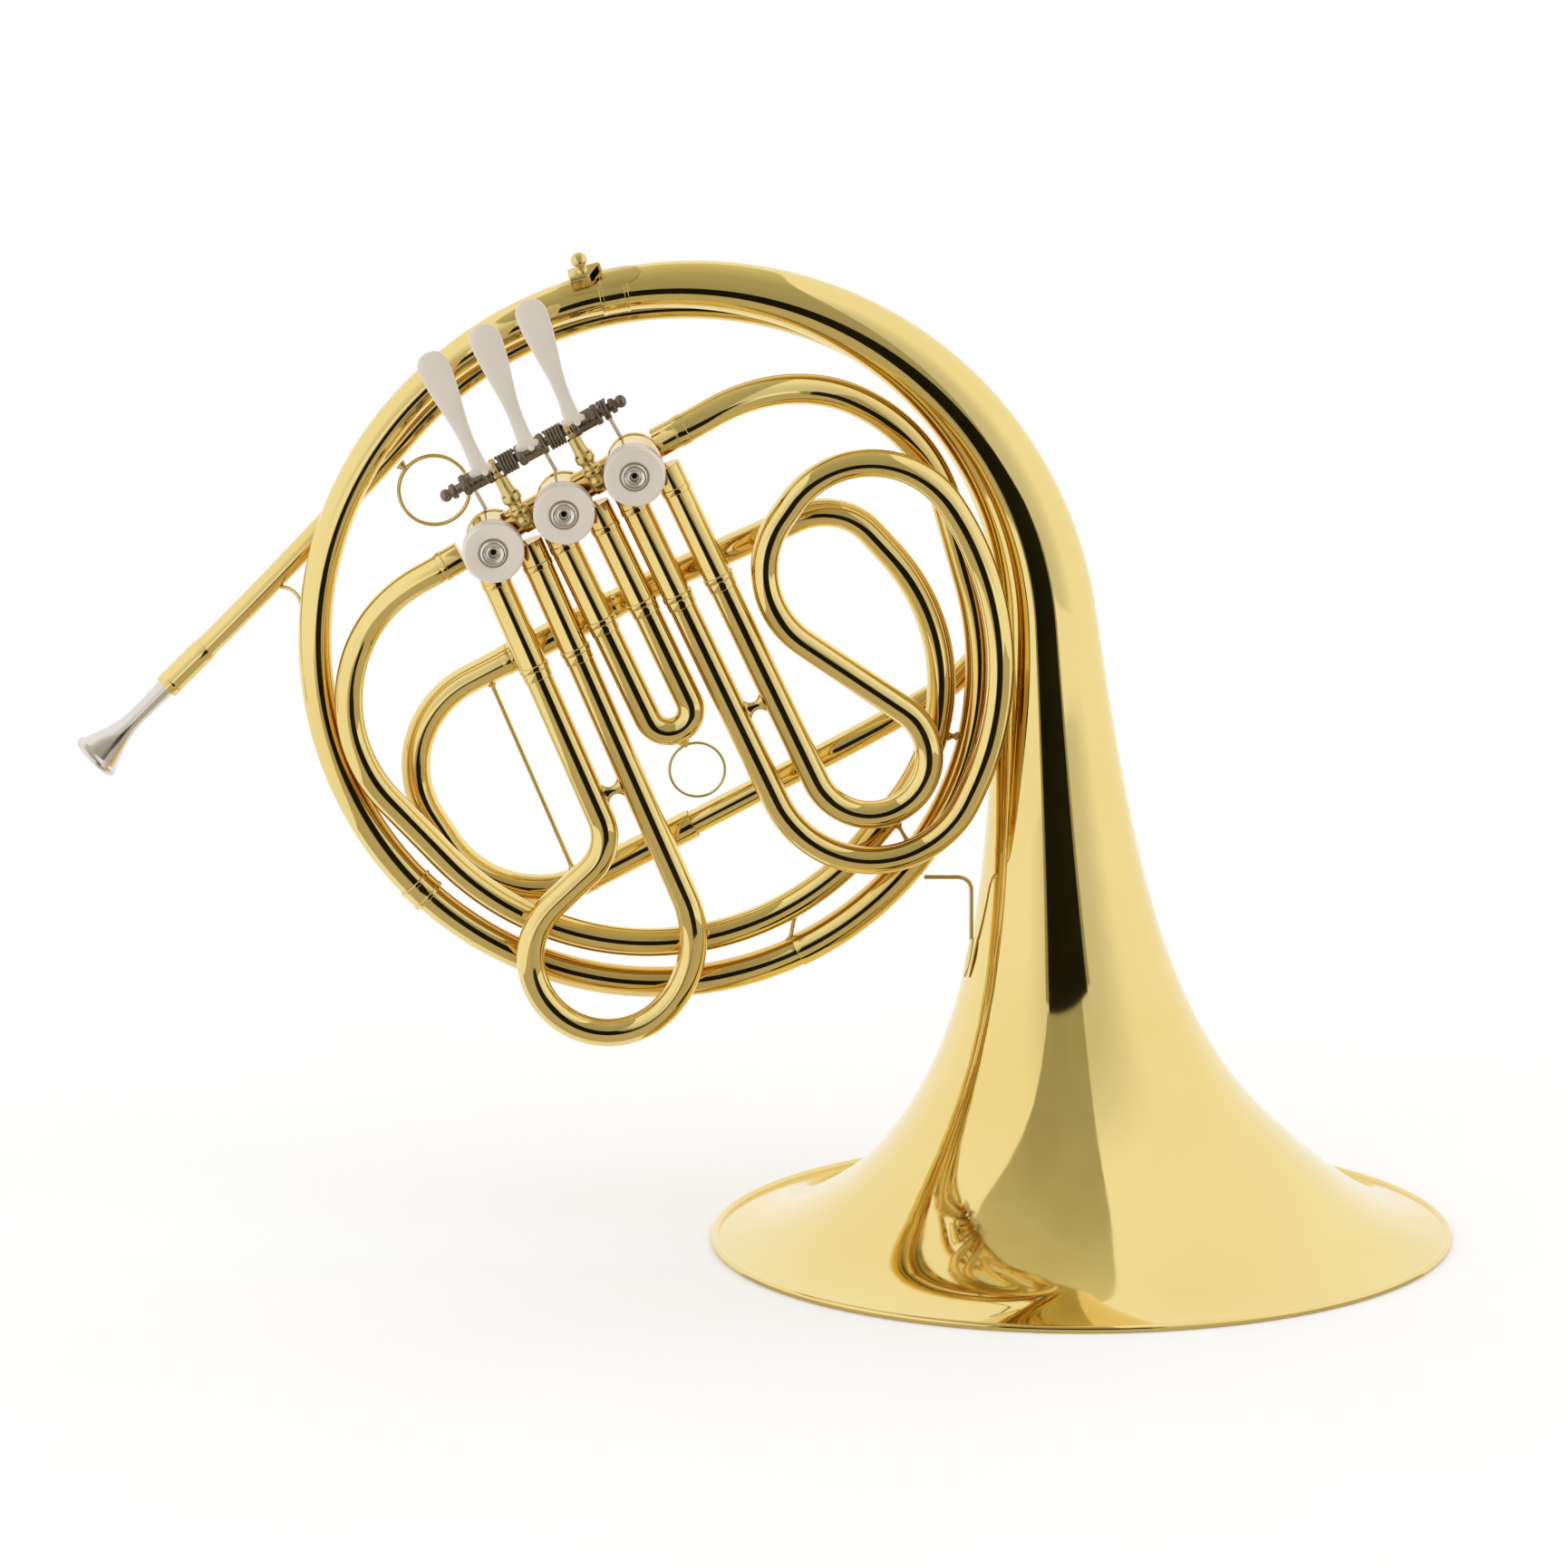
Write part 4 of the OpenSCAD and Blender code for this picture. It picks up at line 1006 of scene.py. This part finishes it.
stay = Route((-65.5, 157.9, 0.0), [(14, 5.5, -90), (21, 0, 0)], [(0, -11)])
stay_pts = [stay.place(l) for l in stay.stops(0, stay.length, 1.0)]
show("bell_stay_bent", *wire(stay_pts, 0.9, 16), AGED_BRASS_WITH_PAINTED_SHADE, "corpus", ["bell_brace"])
TIE_LEAD, TIE_RING = 44, 719


def soldered_tie(p, q, waist=0.85):
    """A short stay whose two ends spread where they are soldered on."""
    reach = float(np.linalg.norm(q - p))
    return lathe(Axis(p, q - p), [
        (-0.3, 0.1), (-0.3, 2.3), (0.5, 1.9), (1.6, 1.1), (3.0, waist), (reach - 3.0, waist),
        (reach - 1.6, 1.1), (reach - 0.5, 1.9), (reach + 0.3, 2.3), (reach + 0.3, 0.1),
    ], 20, 0.5)


def across_tubes(route, l, radius, other, far, other_radius):
    """A tie between the walls of two tubes, at l along one and far along the other."""
    p, q = route.place(l), other.place(far)
    d = (q - p) / np.linalg.norm(q - p)
    return soldered_tie(p + radius * d, q - other_radius * d)


foot_top, foot_low = vec(-45.0, -11, 132.0), vec(-48.4, -11, 115.4)
foot_out = vec(-math.cos(math.radians(16)), -math.sin(math.radians(16)), 0.2)
foot_side = np.cross(foot_top - foot_low, foot_out)
foot_side /= np.linalg.norm(foot_side)
PLATE_STEPS = 14
foot_rows = []
for k in range(PLATE_STEPS + 1):
    t, w = k / PLATE_STEPS, 0.05 + 3.04 * k / PLATE_STEPS
    centre = foot_low + t * (foot_top - foot_low) + 0.4 * foot_out
    foot_rows.append((centre, foot_side, foot_out, 0.4 + 2.2 * math.sin(w) ** 0.6, 0.55))
foot_plate = section_loft(foot_rows, 0.8, 20)
tie_start = lead.place(TIE_LEAD) + vec(2.6, -2.0, -3.6)
tie_end = bell.place(TIE_RING) + vec(-6.2, 1.0, 1.5)
tie_bow = vec(2.4, 0, 3.2)
tie = [
    tie_start + t * (tie_end - tie_start) + 4 * t * (1 - t) * 0.5 * tie_bow
    for t in np.linspace(0, 1, 17)
]
show("tube_ties", *join([
    wire(tie, 0.8, 12),
    across_tubes(back, 262, RETURN, bell, 1139, RING),
    across_tubes(back, 300, RETURN, bell, 1083, RING_WIDE),
    across_tubes(back, 354, RETURN, bell, 1014, RING),
    foot_plate,
]), AGED_BRASS_WITH_PAINTED_SHADE, "corpus", ["tube_stays"])

LYRE_AT, LYRE_ROLL = 533.0, math.radians(-35)
lx, lz, lh = bell.station(LYRE_AT)
outward = in_space(right_vec(lh))
lift = outward * math.cos(LYRE_ROLL) + DEEP * math.sin(LYRE_ROLL)
run = in_space(heading_vec(lh))
sidew = np.cross(run, lift)
seat = vec(lx, RING_Y, lz) + horn_radius(LYRE_AT) * lift
slant = sidew - 0.9 * run


def square_tube(outer, inner, n=40):
    """A box with a square hole: outer sections from end to end, inner ones back again."""
    loops, holes = section_loft(outer, 0.4, n), section_loft(inner, 0.2, n)
    rows = len(outer)
    verts = np.concatenate([loops[0], holes[0]])
    faces = strip(0, rows, n, False) + strip(rows * n, 2, n, False)
    for j in range(n):
        k = (j + 1) % n
        faces.append(((rows - 1) * n + j, (rows - 1) * n + k, rows * n + k, rows * n + j))
        faces.append((k, j, (rows + 1) * n + j, (rows + 1) * n + k))
    return verts, faces


def socket_end(l, side, rise, half_side, half_rise):
    """A section of the box, l along the tube from the seat and rise above it."""
    return (seat + run * l + lift * rise, side, lift, half_side, half_rise)


socket = square_tube(
    [socket_end(-4.6, slant, 3.2, 3.3, 3.8), socket_end(-4.0, slant, 3.2, 3.6, 4.1),
     socket_end(5.5, sidew, 3.2, 3.6, 4.1), socket_end(6.0, sidew, 3.2, 3.2, 3.7)],
    [socket_end(6.0, sidew, 3.7, 2.3, 2.3), socket_end(-4.6, slant, 3.7, 2.3, 2.3)],
)
# A near-black sleeve of painted shade just inside the socket's hole, so that it reads dark
painted_shade_lining = square_tube(
    [socket_end(-4.5, slant, 3.7, 2.28, 2.28), socket_end(5.9, sidew, 3.7, 2.28, 2.28)],
    [socket_end(5.9, sidew, 3.7, 2.1, 2.1), socket_end(-4.5, slant, 3.7, 2.1, 2.1)],
)


def saddle():
    """A thin plate with rounded ends that hugs the tube under the box."""
    rows, cols = 29, 17
    verts = []
    for layer in (0.55, 0.05):
        for j in range(rows):
            u = 2 * j / (rows - 1) - 1
            l = LYRE_AT - 5 + 17 * u
            c, a, b = bell.frame(l)
            width = math.radians(34) * (1 - abs(u) ** 3.2) ** 0.5 + 0.01
            for k in range(cols):
                w = LYRE_ROLL + width * (2 * k / (cols - 1) - 1)
                verts.append(c + (horn_radius(l) + layer) * (math.cos(w) * a + math.sin(w) * DEEP))
    n = rows * cols
    faces = []
    for j in range(rows - 1):
        for k in range(cols - 1):
            q = (j * cols + k, j * cols + k + 1, (j + 1) * cols + k + 1, (j + 1) * cols + k)
            faces += [q[::-1], tuple(i + n for i in q)]
    edge = list(range(cols)) + [j * cols + cols - 1 for j in range(1, rows)]
    edge += [(rows - 1) * cols + k for k in range(cols - 2, -1, -1)]
    edge += [j * cols for j in range(rows - 2, 0, -1)]
    for i, e in enumerate(edge):
        f = edge[(i + 1) % len(edge)]
        faces.append((e, f, f + n, e + n))
    return np.array(verts), faces


show("lyre_socket_formed", *join([socket, saddle()]), AGED_BRASS_WITH_PAINTED_SHADE, "corpus", ["lyre_socket"])
show("lyre_socket_bore", *painted_shade_lining, PAINTED_HOLE_SHADE, "corpus", ())
screw_axis = Axis(seat, lift)
head = lathe(screw_axis, [
    (6.8, 0.1), (6.8, 2.7), (8.2, 2.3), (9.0, 1.6), (11.0, 1.4), (11.8, 1.9), (12.4, 2.8), (13.6, 3.4),
    (15.0, 3.3), (16.2, 2.5), (16.9, 1.2), (17.0, 0.1),
], 40, 0.6)
show("lyre_screw_turned", *head, AGED_BRASS_WITH_PAINTED_SHADE, "lyre_screw", ["lyre_screw"])

# CAD solids that carry over, and only take a material: rotors, inner slide tubes, bearing plates
for name, material in (
    [(f"rotor_{k}", BRIGHT_NICKEL) for k in (1, 2, 3)]
    + [(f"slide_{k}_inner_tubes", BRIGHT_NICKEL) for k in (1, 2, 3)]
    + [("tuning_slide_inner_tubes", BRIGHT_NICKEL)]
    + [(f"bearing_plate_{k}", AGED_BRASS_WITH_PAINTED_SHADE) for k in (1, 2, 3)]
):
    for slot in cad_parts[name].material_slots:
        slot.material = material

# ---------------------------------------------------------------- studio
TARGET = Vector((-0.1236, 0.0, 0.1949))
ELEVATION, DISTANCE = math.radians(13.8), 12.0
FIELD, SENSOR = 0.6498, 36.0  # the width seen at the target, in metres, and the sensor's, in mm


def studio_material(name, colour, roughness):
    """A matt, faintly mottled surface with a little light of its own."""
    mat, nodes, links, shader = new_material(name)
    coords = nodes.new("ShaderNodeTexCoord")
    mottling = noise(nodes, links, coords, 6.0, 2.0)
    low = tuple(c * 0.985 for c in colour)
    links.new(ramp(nodes, links, mottling, [(0.3, low), (0.7, colour)]), shader.inputs["Base Color"])
    shader.inputs["Roughness"].default_value = roughness
    shader.inputs["Emission Color"].default_value = (1, 1, 1, 1)
    shader.inputs["Emission Strength"].default_value = 0.05
    return mat


def card(name, centre, u, v, material):
    """A flat rectangle with half sides u and v."""
    c, u, v = Vector(centre), Vector(u), Vector(v)
    obj = mesh_object(name, [c - u - v, c + u - v, c + u + v, c - u + v], [(0, 1, 2, 3)], material)
    return obj


card("floor", (0, 0, 0), (9, 0, 0), (0, 9, 0), studio_material("pale_paper", (0.985, 0.985, 0.985), 0.9))


def glow(name, low, high, fade=None):
    """A faintly mottled self-lit cloth, that may pale from front to back."""
    mat, nodes, links, out = blank_material(name)
    emission = nodes.new("ShaderNodeEmission")
    coords = nodes.new("ShaderNodeTexCoord")
    mottling = noise(nodes, links, coords, 3.0, 2.0)
    links.new(ramp(nodes, links, mottling, [(0.3, low), (0.7, high)]), emission.inputs["Color"])
    if fade:
        split = nodes.new("ShaderNodeSeparateXYZ")
        links.new(coords.outputs["Object"], split.inputs[0])
        strength = map_range(nodes, links, split.outputs["Y"], *fade)
        links.new(strength.outputs[0], emission.inputs["Strength"])
    links.new(emission.outputs[0], out.inputs[0])
    return mat


def reflected_only(obj):
    """Seen in the polished metal, never by the camera or as a shadow."""
    obj.visible_camera = False
    obj.visible_shadow = False
    obj.visible_diffuse = False


# The dark opening of the tent that the lens looks through, and its cloth fringe
SLIT_Y, SLIT_LEFT, SLIT_RIGHT, SLIT_TOP = -0.58, -0.245, 0.2, 0.335
slit_centre = (SLIT_LEFT + SLIT_RIGHT) / 2
slit_half = (SLIT_RIGHT - SLIT_LEFT) / 2
reflected_only(card(
    "tent_fringe", (slit_centre, SLIT_Y - 0.01, SLIT_TOP / 2 - 0.01),
    (slit_half + 0.045, 0, 0), (0, 0, SLIT_TOP / 2),
    glow("fringe_cloth", (0.30, 0.28, 0.19), (0.36, 0.34, 0.24)),
))
reflected_only(card(
    "tent_opening", (slit_centre, SLIT_Y, SLIT_TOP / 2), (slit_half, 0, 0), (0, 0, SLIT_TOP / 2),
    glow("dark_opening", (0.008, 0.008, 0.005), (0.016, 0.015, 0.01)),
))

# The slack seam of the roof, from the opening up and back: rows of (y, z, left x, right x)
seam_rows = [
    (SLIT_Y, SLIT_TOP, SLIT_LEFT - 0.02, 0.12), (-0.52, 0.6, -0.44, 0.11), (-0.36, 0.85, -0.62, 0.10),
    (-0.1, 1.0, -0.70, 0.09), (0.15, 1.03, -0.56, 0.08), (0.4, 1.0, -0.36, 0.05),
    (0.48, 0.98, -0.24, 0.0), (0.51, 0.97, -0.13, -0.11),
]


def rounded(rows, steps):
    """Points on a smooth curve through the rows."""
    rows = [np.array(r) for r in rows]
    rows = [2 * rows[0] - rows[1]] + rows + [2 * rows[-1] - rows[-2]]
    out = []
    for k in range(1, len(rows) - 2):
        a, b, c, d = rows[k - 1:k + 3]
        for t in np.arange(steps) / steps:
            bend = 2 * a - 5 * b + 4 * c - d + t * (3 * (b - c) + d - a)
            out.append(b + 0.5 * t * (c - a + t * bend))
    return out + [rows[-2]]


seam_curve = rounded(seam_rows, 8)
seam_verts = [(float(x), float(y), float(z)) for y, z, left, right in seam_curve for x in (left, right)]
seam_faces = [(2 * k, 2 * k + 1, 2 * k + 3, 2 * k + 2) for k in range(len(seam_curve) - 1)]
seam_fade = (-0.56, 0.3, 0.80, 1.42)
seam_cloth = glow("roof_shade", (0.47, 0.45, 0.33), (0.53, 0.51, 0.39), seam_fade)
seam = mesh_object("roof_seam", seam_verts, seam_faces, seam_cloth)
reflected_only(seam)

# The shaded ground in front of the horn, seen only in its metal
reflected_only(card(
    "ground_shade", (0.36, -0.56, 0.0004), (0.86, 0, 0), (0, 0.5, 0),
    glow("ground_cloth", (0.50, 0.44, 0.33), (0.58, 0.52, 0.40)),
))


def tent_light():
    """Even light all round, a little weaker from the front, where the camera stands."""
    world = bpy.data.worlds.new("tent")
    world.use_nodes = True
    nodes, links = world.node_tree.nodes, world.node_tree.links
    nodes.clear()
    out = nodes.new("ShaderNodeOutputWorld")
    background = nodes.new("ShaderNodeBackground")
    background.inputs["Strength"].default_value = 1.0
    coords = nodes.new("ShaderNodeTexCoord")
    facing = nodes.new("ShaderNodeVectorMath")
    facing.operation = "DOT_PRODUCT"
    facing.inputs[1].default_value = (0.18, -0.97, 0.1)
    links.new(coords.outputs["Generated"], facing.inputs[0])
    level = map_range(nodes, links, facing.outputs["Value"], 0.45, 1.0, 1.03, 0.70)
    level.interpolation_type = "SMOOTHSTEP"
    links.new(level.outputs[0], background.inputs["Color"])
    links.new(background.outputs[0], out.inputs[0])
    return world


bpy.context.scene.world = tent_light()

camera_data = bpy.data.cameras.new("camera")
camera_data.type = "PERSP"
camera_data.sensor_width = SENSOR
camera_data.lens = SENSOR * DISTANCE / FIELD
camera_data.clip_end = 50.0
camera = bpy.data.objects.new("camera", camera_data)
bpy.context.scene.collection.objects.link(camera)
camera.location = TARGET + DISTANCE * Vector((0, -math.cos(ELEVATION), math.sin(ELEVATION)))
camera.rotation_euler = (math.pi / 2 - ELEVATION, 0, 0)
bpy.context.scene.camera = camera
bpy.context.scene.view_settings.view_transform = "Standard"
